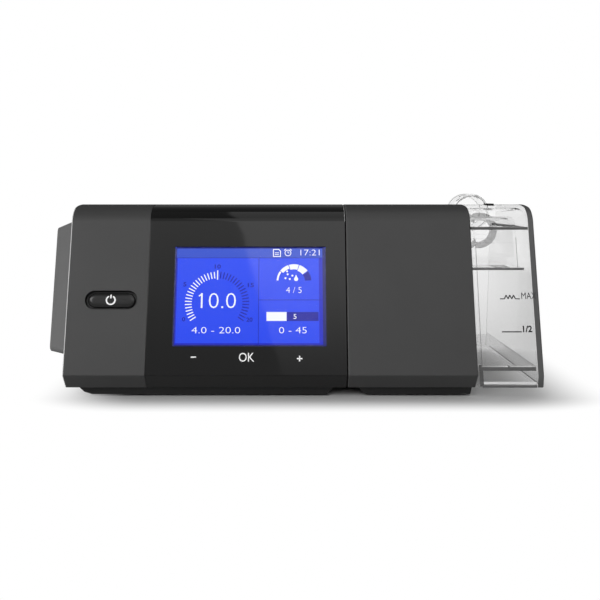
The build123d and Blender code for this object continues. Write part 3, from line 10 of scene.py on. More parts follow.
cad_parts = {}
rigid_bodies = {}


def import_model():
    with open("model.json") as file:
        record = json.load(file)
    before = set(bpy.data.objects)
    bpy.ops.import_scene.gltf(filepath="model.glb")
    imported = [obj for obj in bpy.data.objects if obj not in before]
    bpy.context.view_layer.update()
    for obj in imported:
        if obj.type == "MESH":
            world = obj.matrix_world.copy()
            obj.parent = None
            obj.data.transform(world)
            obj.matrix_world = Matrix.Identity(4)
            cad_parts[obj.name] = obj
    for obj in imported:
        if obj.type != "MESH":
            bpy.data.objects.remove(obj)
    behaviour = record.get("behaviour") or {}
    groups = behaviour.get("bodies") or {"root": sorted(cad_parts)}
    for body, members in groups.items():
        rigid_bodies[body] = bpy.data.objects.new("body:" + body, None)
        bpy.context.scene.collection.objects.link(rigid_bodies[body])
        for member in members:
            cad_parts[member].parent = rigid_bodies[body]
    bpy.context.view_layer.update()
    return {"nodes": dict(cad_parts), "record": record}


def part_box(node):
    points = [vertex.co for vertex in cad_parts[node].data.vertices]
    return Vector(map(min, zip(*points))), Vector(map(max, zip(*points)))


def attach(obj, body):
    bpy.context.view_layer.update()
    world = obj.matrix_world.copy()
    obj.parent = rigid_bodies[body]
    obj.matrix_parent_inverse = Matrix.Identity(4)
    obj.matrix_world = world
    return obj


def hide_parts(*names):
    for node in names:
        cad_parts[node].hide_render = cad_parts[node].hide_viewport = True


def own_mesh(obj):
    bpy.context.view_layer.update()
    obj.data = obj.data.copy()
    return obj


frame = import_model()
nodes = frame["nodes"]
scene = bpy.context.scene

MM = 0.001

# Leaning front face, in millimetres; its own axes are x, up the face, and out of it
LEAN = math.radians(20.0)
FACE_FOOT_Y = -65.0
FACE_FOOT_Z = 12.1
FACE_FRAME = (Matrix.Scale(MM, 4) @ Matrix.Translation((0, FACE_FOOT_Y, FACE_FOOT_Z))
              @ Matrix(((1, 0, 0, 0), (0, math.sin(LEAN), -math.cos(LEAN), 0),
                        (0, math.cos(LEAN), math.sin(LEAN), 0), (0, 0, 0, 1))))

# Middles of the screen and the power button on that face, and half the screen's lit sizes
LCD_X = -20.25
LCD_UP = 39.1
LCD_HALF_WIDTH = 36.72
LCD_HALF_HEIGHT = 24.48
BUTTON_X = -87.75
BUTTON_UP = 37.0

# Power button's cap and the funnel around it, in millimetres
CAP_HALF_LENGTH = 7.9     # half the cap's straight run
CAP_RADIUS = 3.5
CAP_TOP = -0.5            # its top and its rim, out of the face
CAP_RIM = -1.4
CAP_PILLOW = 2.2          # reach of the soft curve between them
CAP_INSETS = 5            # loops that carry this curve, and how far apart they are
CAP_INSET = 0.4
# The dark funnel's black is partly painted shade, for the shade in the button's recess
SHADE_LINER_SEGMENTS = 44
SHADE_LINER_LOOPS = (           # the funnel's outlines: length, width and height out of the face
    (25.6, 9.4, -0.05), (25.2, 9.0, -0.7), (24.9, 8.7, -1.85), (23.6, 7.8, -1.95),
)

# Printed and lit marks, in millimetres
PRINT = 0.04              # thickness
PRINT_OUT = 0.01          # middle of the printed ones, out of the face
CAP_PRINT_SHIFT = -0.3    # the power symbol's, to the left of the cap's middle
TIP_STEEPNESS = 4         # course of a drop's point, and how much narrower it gets
TIP_NARROWING = 0.6

# Nodes that a copy stands for, with the easing of its hard edges in millimetres; a copy with 0
# is only joined and smoothed
EASES = {
    "front_cover": 0.25, "rear_case": 0.25, "humidifier_cover": 0.25, "display_lens": 0.2,
    "filter_cover": 0.3, "base_pan": 0.4, "humidifier_base": 0.4, "power_button": 0.0,
    "chamber_tub": 0.3, "chamber_lid": 0.3, "chamber_gasket": 0.0, "chamber_end_panel": 0.0,
    "heater_springs": 0.0,
}
EASE_SEGMENTS = 2
JOIN = 0.001              # corners nearer than this are one
FLAT_ANGLE = 0.2          # degrees between faces that are one plane
HARD_ANGLE = 25.0         # and between faces whose edge is eased
CRISP_ANGLE = 32.0        # and between faces that shade apart
CAP_CRISP_ANGLE = 40.0    # the same on the cap and its funnel
EDGE_REACH = 0.6          # how far the rounded edge of a shell's end reaches
LENS_SHINE_FROM = 78.0    # height from which the lens's right edge gets its painted highlight
RIM_BAND_REAR = 5.0       # y at which the painted shade on the end panel's rim stops

# Camera, in metres and degrees, with lens and sensor in millimetres
CAMERA_PLACE = (-0.00075, -0.4137, 0.0973)
CAMERA_DOWN = 7.95
CAMERA_LENS = 45.0
CAMERA_SENSOR = 36.0
CAMERA_SHIFT = 0.0167
CAMERA_NEAR = 0.01

# Lamps: name, place and size in metres, and watts; both aim at one point of the machine
LAMPS = (("front_soft_box", (-0.35, -1.3, 0.8), (1.3, 0.7), 14.0),
         ("left_soft_box", (-1.1, -0.35, 0.4), (0.5, 0.7), 5.2))
LAMP_AIM = (0, 0, 0.05)
WORLD_LIGHT = 0.3         # the world's strength, for matt surfaces
WORLD_SHINE = 0.12        # and for shiny ones
SEEN_INSIDE = 0.6         # share of the backdrop's white that reaches what clear walls enclose
CLEAR_BOUNCES = 32        # enough for light to pass every wall of the water chamber
WINDOW_SLANT = 0.262      # how far the reflected window's edge leans left for each metre up

# Noise of the finishes: its detail, the broad one's cycles per metre, and where most of it lies
FINE_DETAIL = 3.0
MOTTLE_DETAIL = 4.0
MOTTLE_GRAIN = 40.0
NOISE_SPAN = (0.3, 0.7)
CLEAR_IOR = 1.012         # near air's, so that stacked clear walls don't mirror each other

# Floor, in metres, and the stretch of it around the machine that is grey and fades to white: a
# painted shadow, in which the lamps' own shadow also shows
FLOOR_RADIUS = 6.0
FLOOR_GREY = 0.53
SHADOW_MIDDLE = (0.015, -0.009)
SHADOW_HALF = (0.085, 0.049)
SHADOW_SPREAD = 0.5       # wider and softer towards the ends
SHADOW_FADE = (0.004, 0.029)


# ---------------------------------------------------------------- helpers
def add_object(name, bm):
    """Object at the origin from a bmesh, which ends here."""
    mesh = bpy.data.meshes.new(name)
    bm.to_mesh(mesh)
    bm.free()
    obj = bpy.data.objects.new(name, mesh)
    scene.collection.objects.link(obj)
    return obj


def new_material(name):
    """Material with nodes, and its node tree."""
    material = bpy.data.materials.new(name)
    material.use_nodes = True
    return material, material.node_tree


def axes_of(tree):
    """Object coordinates, as three sockets."""
    place = tree.nodes.new("ShaderNodeTexCoord")
    split = tree.nodes.new("ShaderNodeSeparateXYZ")
    tree.links.new(place.outputs["Object"], split.inputs[0])
    return split.outputs


def range_of(tree, source, over, gives, course="SMOOTHSTEP"):
    """Result that goes between the two given values while the source runs between two others."""
    climb = tree.nodes.new("ShaderNodeMapRange")
    climb.interpolation_type = course
    for socket, value in zip(("From Min", "From Max", "To Min", "To Max"), (*over, *gives)):
        climb.inputs[socket].default_value = value
    tree.links.new(source, climb.inputs["Value"])
    return climb.outputs["Result"]


def math_of(tree, operation, *values):
    """Result of a math node on sockets or plain numbers."""
    node = tree.nodes.new("ShaderNodeMath")
    node.operation = operation
    for socket, value in zip(node.inputs, values):
        if isinstance(value, (int, float)):
            socket.default_value = value
        else:
            tree.links.new(value, socket)
    return node.outputs[0]


# ---------------------------------------------------------------- camera and light
def add_camera():
    """Camera in front of the machine, a little above it, looking slightly down."""
    data = bpy.data.cameras.new("front_camera")
    data.lens = CAMERA_LENS
    data.sensor_width = CAMERA_SENSOR
    data.shift_x = CAMERA_SHIFT
    data.clip_start = CAMERA_NEAR
    camera = bpy.data.objects.new("front_camera", data)
    camera.location = CAMERA_PLACE
    camera.rotation_euler = (math.radians(90 - CAMERA_DOWN), 0, 0)
    scene.collection.objects.link(camera)
    scene.camera = camera


def add_soft_box(name, place, size, power):
    """Rectangular area lamp that lights the machine and shows in no shiny or clear surface."""
    data = bpy.data.lights.new(name, "AREA")
    data.shape = "RECTANGLE"
    data.size, data.size_y = size
    data.energy = power
    lamp = bpy.data.objects.new(name, data)
    lamp.location = place
    aim = Vector(LAMP_AIM) - Vector(place)
    lamp.rotation_euler = aim.to_track_quat("-Z", "Y").to_euler()
    lamp.visible_glossy = lamp.visible_transmission = False
    scene.collection.objects.link(lamp)


def seen_share(tree, path):
    """One for rays that look at the backdrop, less for what bounces on inside clear plastic."""
    inside = math_of(tree, "MINIMUM", path.outputs["Transmission Depth"], SEEN_INSIDE)
    straight = math_of(tree, "MAXIMUM", path.outputs["Is Camera Ray"],
                       path.outputs["Is Transmission Ray"])
    return math_of(tree, "MAXIMUM", straight, inside)


def add_world():
    """Even world, dim to shiny surfaces, white behind the machine and through its clear pieces."""
    world = bpy.data.worlds.new("studio")
    scene.world = world
    world.use_nodes = True
    tree = world.node_tree
    tree.nodes.clear()
    path = tree.nodes.new("ShaderNodeLightPath")
    strength = tree.nodes.new("ShaderNodeMix")
    strength.inputs["B"].default_value = 1.0
    shade = tree.nodes.new("ShaderNodeBackground")
    shade.inputs["Color"].default_value = (1, 1, 1, 1)
    out = tree.nodes.new("ShaderNodeOutputWorld")
    unseen = range_of(tree, path.outputs["Is Glossy Ray"], over=(0.0, 1.0),
                      gives=(WORLD_LIGHT, WORLD_SHINE), course="LINEAR")
    for source, target in (
        (seen_share(tree, path), strength.inputs["Factor"]), (unseen, strength.inputs["A"]),
        (strength.outputs["Result"], shade.inputs["Strength"]),
        (shade.outputs[0], out.inputs["Surface"]),
    ):
        tree.links.new(source, target)


def add_card(name, place, turn, tilt, size, strength_of):
    """Glowing card that only shiny surfaces show; its strength follows the scene's x and z."""
    bm = bmesh.new()
    bmesh.ops.create_grid(bm, x_segments=1, y_segments=1, size=0.5)
    stand = (Matrix.Translation(place) @ Matrix.Rotation(math.radians(turn), 4, "Z")
             @ Matrix.Rotation(math.radians(tilt), 4, "X") @ Matrix.Diagonal((*size, 1, 1)))
    bmesh.ops.transform(bm, matrix=stand, verts=bm.verts)
    card = add_object(name, bm)
    material, tree = new_material(name + "_glow")
    tree.nodes.clear()
    x, _, z = axes_of(tree)
    glow = tree.nodes.new("ShaderNodeEmission")
    out = tree.nodes.new("ShaderNodeOutputMaterial")
    tree.links.new(strength_of(tree, x, z), glow.inputs["Strength"])
    tree.links.new(glow.outputs[0], out.inputs["Surface"])
    card.data.materials.append(material)
    card.visible_camera = card.visible_diffuse = card.visible_shadow = False


def front_glow(tree, x, z):
    """Brighter upwards, with a slanting edge to the right of which a window adds its light."""
    room = range_of(tree, z, over=(0.7, 1.3), gives=(0.4, 0.78))
    window_x = math_of(tree, "MULTIPLY_ADD", z, WINDOW_SLANT, x)
    window = range_of(tree, window_x, over=(0.1618, 0.1718), gives=(0.0, 1.0))
    light = range_of(tree, z, over=(0.65, 1.1), gives=(0.08, 0.68))
    total = math_of(tree, "MULTIPLY_ADD", window, light, room)
    ceiling = range_of(tree, z, over=(1.25, 1.6), gives=(1.0, 0.6))
    return math_of(tree, "MULTIPLY", total, ceiling)


def top_glow(tree, x, z):
    """The same window, overhead, for the bend over the face."""
    return range_of(tree, x, over=(-0.22, -0.20), gives=(0.17, 0.72))


def side_glow(tree, x, z):
    """Low light that draws the left edges."""
    return range_of(tree, z, over=(0.02, 0.12), gives=(7.0, 0.0))


def corner_glow(tree, x, z):
    """Soft light that the power button's rounded ends catch."""
    return range_of(tree, z, over=(0.6, 0.75), gives=(0.0, 3.6))


def add_cards():
    """What shiny surfaces show of the room: place, turn and tilt in degrees, size, and glow."""
    add_card("front_card", (0.2, -1.5, 1.3), 0, 90, (3.2, 2.0), front_glow)
    add_card("top_card", (0.4, -0.6, 2.3), 0, 0, (2.4, 1.8), top_glow)
    add_card("side_card", (-0.9, -0.25, 0.07), 75, 90, (0.5, 0.12), side_glow)
    add_card("corner_card", (-1.0, -1.1, 0.95), -42, 90, (0.8, 0.6), corner_glow)


def distance_from_painted_shadow(tree):
    """Distance of a point of the floor from the stretch of painted shadow."""
    place = tree.nodes.new("ShaderNodeTexCoord")
    spread = tree.nodes.new("ShaderNodeMapping")
    spread.inputs["Location"].default_value = (-SHADOW_MIDDLE[0] * SHADOW_SPREAD,
                                               -SHADOW_MIDDLE[1], 0)
    spread.inputs["Scale"].default_value = (SHADOW_SPREAD, 1, 0)
    tree.links.new(place.outputs["Object"], spread.inputs["Vector"])
    last = spread
    for operation, other in (
        ("ABSOLUTE", None), ("SUBTRACT", (SHADOW_HALF[0] * SHADOW_SPREAD, SHADOW_HALF[1], 0)),
        ("MAXIMUM", (0, 0, 0)), ("LENGTH", None),
    ):
        step = tree.nodes.new("ShaderNodeVectorMath")
        step.operation = operation
        if other:
            step.inputs[1].default_value = other
        tree.links.new(last.outputs[0], step.inputs[0])
        last = step
    return last.outputs["Value"]


def add_floor():
    """Pale floor, grey around the machine as a painted shadow that runs out to white, and that
    keeps the machine's shadow too.
    """
    bm = bmesh.new()
    bmesh.ops.create_circle(bm, cap_ends=True, segments=96, radius=FLOOR_RADIUS)
    floor = add_object("floor", bm)
    material, tree = new_material("pale_floor")
    tree.nodes.clear()
    seen = seen_share(tree, tree.nodes.new("ShaderNodeLightPath"))
    away = range_of(tree, distance_from_painted_shadow(tree), over=SHADOW_FADE, gives=(0.0, 1.0))
    body = tree.nodes.new("ShaderNodeBsdfDiffuse")
    body.inputs["Color"].default_value = (FLOOR_GREY, FLOOR_GREY, FLOOR_GREY, 1)
    white = tree.nodes.new("ShaderNodeEmission")
    mix = tree.nodes.new("ShaderNodeMixShader")
    out = tree.nodes.new("ShaderNodeOutputMaterial")
    for source, target in (
        (math_of(tree, "MULTIPLY", seen, away), mix.inputs[0]), (body.outputs[0], mix.inputs[1]),
        (white.outputs[0], mix.inputs[2]), (mix.outputs[0], out.inputs["Surface"]),
    ):
        tree.links.new(source, target)
    floor.data.materials.append(material)


# ---------------------------------------------------------------- finishes
def tone(red, green=None, blue=None):
    """Linear colour from display values of 0 to 255."""
    shares = [(red if value is None else value) / 255 for value in (red, green, blue)]
    return [share / 12.92 if share <= 0.04045 else ((share + 0.055) / 1.055) ** 2.4
            for share in shares]


def ramp_colours(tree, source, low, high, between=(0.0, 1.0)):
    """Colour that goes from low to high while the source runs between two shares."""
    ramp = tree.nodes.new("ShaderNodeValToRGB")
    for stop, share, colour in zip(ramp.color_ramp.elements, between, (low, high)):
        stop.position = share
        stop.color = (*colour, 1)
    tree.links.new(source, ramp.inputs["Fac"])
    return ramp.outputs["Color"]


def noise_of(tree, place, scale, detail):
    """Noise with so many cycles per metre."""
    noise = tree.nodes.new("ShaderNodeTexNoise")
    noise.inputs["Scale"].default_value = scale
    noise.inputs["Detail"].default_value = detail
    tree.links.new(place, noise.inputs["Vector"])
    return noise.outputs["Fac"]


def finish_of(name, colour, rough, grain=900.0, height=0.02, mottle=0.05, swing=0.05,
              stretch=(1, 1, 1), **sockets):
    """Finish whose grain gives it height, uneven gloss and a little mottling.

    grain is in cycles per metre, height in millimetres, mottle a share of the colour, swing a
    change of the roughness, and stretch pulls the grain; the rest are the shader's sockets."""
    material, tree = new_material(name)
    shader = tree.nodes["Principled BSDF"]
    place = tree.nodes.new("ShaderNodeTexCoord")
    mapping = tree.nodes.new("ShaderNodeMapping")
    mapping.inputs["Scale"].default_value = stretch
    tree.links.new(place.outputs["Object"], mapping.inputs["Vector"])
    fine = noise_of(tree, mapping.outputs["Vector"], grain, FINE_DETAIL)
    broad = noise_of(tree, mapping.outputs["Vector"], MOTTLE_GRAIN, MOTTLE_DETAIL)
    dark, light = ([part * share for part in colour] for share in (1 - mottle, 1 + mottle))
    blend = ramp_colours(tree, broad, dark, light, NOISE_SPAN)
    tree.links.new(blend, shader.inputs["Base Color"])
    shader.inputs["Roughness"].default_value = rough
    if swing:
        gloss = range_of(tree, fine, over=NOISE_SPAN, course="LINEAR",
                         gives=(max(rough - swing, 0.0), min(rough + swing, 1.0)))
        tree.links.new(gloss, shader.inputs["Roughness"])
    if height:
        bump = tree.nodes.new("ShaderNodeBump")
        bump.inputs["Distance"].default_value = height * MM
        tree.links.new(fine, bump.inputs["Height"])
        tree.links.new(bump.outputs["Normal"], shader.inputs["Normal"])
    for socket, value in sockets.items():
        shader.inputs[socket.replace("_", " ")].default_value = value
    return material


def lit_finish(name, top, foot=None):
    """Lit colour of the screen, even or from its top to its foot."""
    material, tree = new_material(name)
    shader = tree.nodes["Principled BSDF"]
    for socket, value in (("Base Color", (0.0, 0.0, 0.0, 1)), ("Roughness", 0.04),
                          ("Specular IOR Level", 0.8), ("Emission Strength", 1.0)):
        shader.inputs[socket].default_value = value
    if foot is None:
        shader.inputs["Emission Color"].default_value = (*top, 1)
        return material
    window_foot, window_top = (corner[2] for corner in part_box("lcd_window"))
    _, _, z = axes_of(tree)
    climb = range_of(tree, z, over=(window_foot, window_top), gives=(0.0, 1.0), course="LINEAR")
    tree.links.new(ramp_colours(tree, climb, foot, top), shader.inputs["Emission Color"])
    return material


def clear_finish(name, top, foot=None):
    """Clear moulded plastic with a glossy skin, even or darker towards its foot as painted shade.

    On the right that painted shade reaches up to the lid. Places are in metres."""
    material, tree = new_material(name)
    shader = tree.nodes["Principled BSDF"]
    for socket, value in (("Transmission Weight", 1.0), ("Roughness", 0.0), ("IOR", CLEAR_IOR),
                          ("Coat Weight", 0.25), ("Coat Roughness", 0.04)):
        shader.inputs[socket].default_value = value
    if foot is None:
        shader.inputs["Base Color"].default_value = (*top, 1)
        return material
    x, _, z = axes_of(tree)
    # Painted shade: darker towards the foot and, up to the lid, on the right; lighter again at the
    # roof
    climb = range_of(tree, z, over=(0.014, 0.055), gives=(0.0, 1.0))
    right = range_of(tree, x, over=(0.095, 0.116), gives=(1.0, 0.3))
    roof = range_of(tree, z, over=(0.056, 0.064), gives=(0.0, 1.0))
    share = math_of(tree, "MAXIMUM", math_of(tree, "MULTIPLY", climb, right), roof)
    tree.links.new(ramp_colours(tree, share, foot, top), shader.inputs["Base Color"])
    return material


SATIN = {"grain": 2600.0, "height": 0.012}
FINISHES = {
    "satin_case": finish_of("satin_case", tone(52), 0.46, **SATIN),
    # The filter cover's grey is lighter than the case's: some of that is its own colour, some is
    # painted light for the light it gets from the left
    "grey_case": finish_of("grey_case", tone(91), 0.46, **SATIN),
    "gloss_lens": finish_of("gloss_lens", tone(10), 0.04, grain=150.0, height=0.0002,
                            mottle=0.02, swing=0.01),
    "clear_window": finish_of("clear_window", tone(252), 0.0, grain=120.0, height=0.0,
                              mottle=0.01, swing=0.0, Transmission_Weight=1.0, IOR=1.02),
    "lcd": lit_finish("lcd", tone(32, 73, 243), tone(27, 67, 238)),
    "button": finish_of("button", tone(30), 0.15, grain=1800.0, height=0.004),
    "black_plastic": finish_of("black_plastic", tone(18), 0.45, grain=1500.0, height=0.012),
    "board": finish_of("board", tone(24, 92, 58), 0.35, grain=700.0, height=0.01, mottle=0.15),
    "sheet_steel": finish_of("sheet_steel", tone(196), 0.34, grain=260.0, height=0.004,
                             mottle=0.04, swing=0.08, stretch=(1, 12, 1), Metallic=1.0),
    "screws": finish_of("screws", tone(188), 0.28, height=0.006, swing=0.08, Metallic=1.0),
    "brass_fittings": finish_of("brass_fittings", tone(219, 190, 122), 0.28, grain=800.0,
                                height=0.005, mottle=0.06, swing=0.08, Metallic=1.0),
    "feet": finish_of("feet", tone(36), 0.8, grain=2000.0, height=0.03),
    "silicone": finish_of("silicone", tone(206), 0.55, grain=1200.0, height=0.01),
    "grey_seal": finish_of("grey_seal", tone(74), 0.6, grain=1400.0, height=0.01),
    "duct_plastic": finish_of("duct_plastic", tone(214), 0.45, grain=1400.0, height=0.01),
    "white_plastic": finish_of("white_plastic", tone(236), 0.3, height=0.006),
    "windings": finish_of("windings", tone(196, 118, 62), 0.4, height=0.05, mottle=0.2,
                          swing=0.1, stretch=(1, 1, 9), Metallic=0.8),
    "foam": finish_of("foam", tone(188, 190, 194), 0.95, grain=1100.0, height=0.25, mottle=0.2),
    "heater_metal": finish_of("heater_metal", tone(204), 0.36, grain=240.0, height=0.004,
                              mottle=0.04, swing=0.1, stretch=(10, 1, 1), Metallic=1.0),
    # The clear plastics are darker towards their foot: painted shade
    "clear_plastic": clear_finish("clear_plastic", tone(250), tone(229)),
    "smoke_plastic": clear_finish("smoke_plastic", tone(238), tone(226)),
}
# Grey band of painted shade on the end panel's rim
PAINTED_RIM_SHADE = finish_of("end_rim_painted_shade", tone(74), 0.4, grain=1400.0, height=0.004)
WHITE_PRINT = finish_of("white_print", tone(244), 0.5, grain=2200.0, height=0.004, mottle=0.02)
GREY_PRINT = finish_of("grey_print", tone(30), 0.5, grain=2200.0, height=0.004, mottle=0.04)
# Grey clear for the guide's collar: painted shade, for the edges its refraction would show
COLLAR_PAINTED_SHADE = clear_finish("collar_painted_shade", tone(176))
# Painted highlight for edges that catch the light
PAINTED_HIGHLIGHT = finish_of("painted_highlight", tone(190), 0.3, grain=1400.0, height=0.002)
# Painted shade: mid grey for the clear hose port's neck rim
PAINTED_SOFT_SHADE = finish_of("painted_soft_shade", tone(128), 0.4, grain=1400.0, height=0.002)
# Mid grey that is painted shade on the chamber's clear edges and a painted highlight on the
# humidifier cover's edge
PAINTED_EDGE_GREY = finish_of("painted_edge_grey", tone(70), 0.5, grain=1400.0, height=0.004)
# Mottled painted shade for the tub's corner, where the cover's side shows through
PAINTED_CORNER_SHADE = finish_of("corner_shade", tone(66), 0.5, grain=700.0, height=0.004, mottle=0.3)
LIT = {
    "white": lit_finish("lit_white", tone(246, 249, 255)),
    "navy": lit_finish("lit_navy", tone(3, 12, 156)),
    # Painted shade at the screen's edges, where the screen sits sunk behind the lens
    "shade": lit_finish("lit_painted_shade", tone(10, 30, 196)),
    "rim": lit_finish("lit_painted_rim_shade", tone(12, 20, 112)),
    "bar": lit_finish("lit_bar", tone(44, 78, 202)),
}


# ---------------------------------------------------------------- making pieces
def on_face(x, up, out):
    """Matrix that sets a piece drawn in millimetres on a point of the leaning face."""
    return FACE_FRAME @ Matrix.Translation((x, up, out))


def add_piece(name, bm, material, body, place):
    """Finished piece from a bmesh, moved to its place, riding on its body."""
    bmesh.ops.transform(bm, matrix=place, verts=bm.verts)
    bmesh.ops.recalc_face_normals(bm, faces=bm.faces)
    piece = add_object(name, bm)
    piece.data.materials.append(material)
    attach(piece, body)
    return piece


def body_of_node(name):
    """Body that a CAD node belongs to."""
    return next(body for body, members in frame["record"]["behaviour"]["bodies"].items()
                if name in members)


def slot_of_node(name):
    """Material slot of a CAD node."""
    return next(row["material_slot"] for row in frame["record"]["subparts"] if row["node"] == name)


def smooth_up_to(mesh, degrees):
    """Smooth shading, with a crisp edge where faces meet at a larger angle."""
    mesh.shade_smooth()
    mesh.set_sharp_from_angle(angle=math.radians(degrees))


def add_shell(name, ease):
    """Copy of a CAD node, its triangles joined and its hard edges eased, which stands for it."""
    bm = bmesh.new()
    bm.from_mesh(nodes[name].data)
    bmesh.ops.remove_doubles(bm, verts=bm.verts, dist=JOIN * MM)
    bmesh.ops.dissolve_limit(bm, angle_limit=math.radians(FLAT_ANGLE), verts=bm.verts,
                             edges=bm.edges)
    if ease:
        hard = [edge for edge in bm.edges if len(edge.link_faces) == 2
                and edge.calc_face_angle(0.0) > math.radians(HARD_ANGLE)]
        bmesh.ops.bevel(bm, geom=hard, offset=ease * MM, offset_type="OFFSET",
                        segments=EASE_SEGMENTS, profile=0.5, affect="EDGES", clamp_overlap=True,
                        material=-1)
    shell = add_object(name + "_shell", bm)
    mesh = shell.data
    # The triangles' own normals go, so that the smoothing below counts
    if "custom_normal" in mesh.attributes:
        mesh.attributes.remove(mesh.attributes["custom_normal"])
    slot = slot_of_node(name)
    mesh.materials.append(FINISHES[slot])
    smooth_up_to(mesh, CRISP_ANGLE)
    weights = shell.modifiers.new("even_normals", "WEIGHTED_NORMAL")
    weights.keep_sharp = True
    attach(shell, body_of_node(name))
    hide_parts(name)
    return shell


def bar(bm, left, right, low, high, turn=0.0, about=(0, 0)):
    """Flat bar between two pairs of limits, turned by degrees about a point."""
    shape = (Matrix.Translation((*about, 0)) @ Matrix.Rotation(math.radians(turn), 4, "Z")
             @ Matrix.Translation(((left + right) / 2, (low + high) / 2, 0))
             @ Matrix.Diagonal((right - left, high - low, PRINT, 1)))
    bmesh.ops.create_cube(bm, size=1, matrix=shape)


def ring(bm, centre, inner, outer, start=0, sweep=360, steps=24):
    """Arc of a flat ring, from an angle and over a sweep, both in degrees."""
    made = bmesh.ops.create_grid(bm, x_segments=1, y_segments=1, size=0.5)["verts"]
    shape = (Matrix.Translation((*centre, 0)) @ Matrix.Rotation(math.radians(start), 4, "Z")
             @ Matrix.Translation(((inner + outer) / 2, 0, 0))
             @ Matrix.Rotation(math.radians(90), 4, "X")
             @ Matrix.Diagonal((outer - inner, PRINT, 1, 1)))
    bmesh.ops.transform(bm, matrix=shape, verts=made)
    faces = {face for vert in made for face in vert.link_faces}
    edges = {edge for vert in made for edge in vert.link_edges}
    full = abs(sweep) >= 360
    bmesh.ops.spin(bm, geom=[*made, *edges, *faces], cent=(*centre, 0), axis=(0, 0, 1),
                   angle=math.radians(sweep), steps=steps, use_merge=full)


def disc(bm, centre, radius, tip=0.0):
    """Flat disc; tip is how far its top is pulled up to a point."""
    made = bmesh.ops.create_circle(bm, cap_ends=True, segments=20, radius=radius)["verts"]
    for vert in made:
        if tip and vert.co.y > 0:
            vert.co.y += tip * (vert.co.y / radius) ** TIP_STEEPNESS
            vert.co.x *= 1 - TIP_NARROWING * vert.co.y / (radius + tip)
    bmesh.ops.translate(bm, vec=(*centre, 0), verts=made)
    faces = list({face for vert in made for face in vert.link_faces})
    bmesh.ops.solidify(bm, geom=faces, thickness=PRINT)


def lettering(bm, text, left, right, low, high, weight=0.0):
    """Line of text that fills a rectangle; weight swells its strokes, as a share of their size."""
    curve = bpy.data.curves.new("lettering", "FONT")
    curve.body = text
    curve.extrude = PRINT / 2
    curve.offset = weight
    curve.resolution_u = 3
    holder = bpy.data.objects.new("lettering", curve)
    scene.collection.objects.link(holder)
    view = bpy.context.evaluated_depsgraph_get()
    mesh = bpy.data.meshes.new_from_object(holder.evaluated_get(view))
    bpy.data.objects.remove(holder)
    start, end = ([pick(vert.co[axis] for vert in mesh.vertices) for axis in (0, 1)]
                  for pick in (min, max))
    scale = ((right - left) / (end[0] - start[0]), (high - low) / (end[1] - start[1]))
    mesh.transform(Matrix.Translation((left, low, 0)) @ Matrix.Diagonal((*scale, 1, 1))
                   @ Matrix.Translation((-start[0], -start[1], 0)))
    bm.from_mesh(mesh)
    bpy.data.meshes.remove(mesh)


# ---------------------------------------------------------------- screen picture
# Millimetres from the middle of the lit area, and degrees. A bar is left, right, low and high,
# then its turn and the point that it turns about; a text is its words, the same four limits
# and its weight
# The shade and rim layers are painted shade at the edges of the sunk screen
SCREEN_LAYERS = (             # with the depth of each behind the face
    ("screen_status_bar", LIT["bar"], 1.57), ("screen_rules", LIT["navy"], 1.53),
    ("screen_painted_shade", LIT["shade"], 1.57), ("screen_painted_rim_shade", LIT["rim"], 1.55),
    ("screen_dark_marks", LIT["navy"], 1.53), ("screen_white_marks", LIT["white"], 1.49),
)
GAUGE = (-16.1, -3.3)         # middle of the pressure gauge
TICKS = 41
FIRST_TICK = 214
TICK_SWEEP = 248
TICK_RADII = (12.4, 15.7)
TICK_HALF_WIDTH = 0.26
READING_MORE = 0.7            # the tick at the reading is longer by this at each end
SCALE = (("0", -32.2, -12.4), ("5", -32.1, 5.0), ("10", -16.1, 14.0), ("15", 0.3, 4.6),
         ("20", -0.2, -12.6))
SCALE_DIGIT = (1.5, 2.1)      # width and height
SCALE_WEIGHT = 0.02
READING = ("10.0", -24.0, -6.9, -5.9, 1.7, -0.014)
READING_FLAG = (-0.3, 0.3, -1.1, 1.1, -52, (-24.15, 0.75))    # the slanting stroke of its 1
PRESSURE_RANGE = ("4.0 - 20.0", -28.2, -4.6, -18.3, -15.2, -0.012)
DIAL = (21.45, 7.75)          # middle of the humidity dial
DIAL_RADIUS = 8.5
DIAL_WIDTHS = (0.9, 1.9, 2.6, 3.1, 3.1)
DIAL_START = 178
DIAL_PITCH = 35.6
DIAL_SWEEP = 33.2
VAPOUR = (                    # middles of the dots over the drop
    (18.37, 11.14), (20.68, 10.44), (17.29, 9.17), (19.40, 8.71), (18.1, 12.6),
)
VAPOUR_RADIUS = 0.48
DROP = ((22.5, 8.75), 1.05, 1.1)      # middle, radius and tip
HUMIDITY = ("4 / 5", 17.6, 25.2, 1.7, 4.7, -0.012)
RAMP_DONE = (8.1, 17.85, -12.2, -7.8)
RAMP_TO_GO = (17.95, 33.4, -12.2, -7.8)
RAMP_VALUE = ("5", 21.2, 22.7, -11.2, -8.8)
RAMP_RANGE = ("0 - 45", 14.2, 27.6, -18.3, -15.2, -0.012)
STATUS_FOOT = 19.6            # lower edge of the status bar
CARD_SIGN = (                 # outline, two contacts, and the cut corner last
    (11.1, 11.5, 20.0, 24.0), (11.1, 13.9, 23.6, 24.0), (14.6, 15.0, 20.0, 23.0),
    (11.1, 15.0, 20.0, 20.4), (12.0, 14.0, 21.9, 22.2), (12.0, 14.0, 21.0, 21.3),
    (-0.85, 0.85, -0.2, 0.2, -45, (14.35, 23.4)),
)
CLOCK = (18.5, 22.0)          # middle of the alarm clock
CLOCK_RADII = (1.3, 1.65)
CLOCK_HANDS = ((-0.12, 0.12, 0.0, 1.0), (0.0, 0.8, -0.12, 0.12))
BELL_RADII = (2.0, 2.4)
BELL_STARTS = (35, 115)
BELL_SWEEP = 30
TIME = ("17:21", 24.7, 34.15, 20.75, 23.7, -0.014)
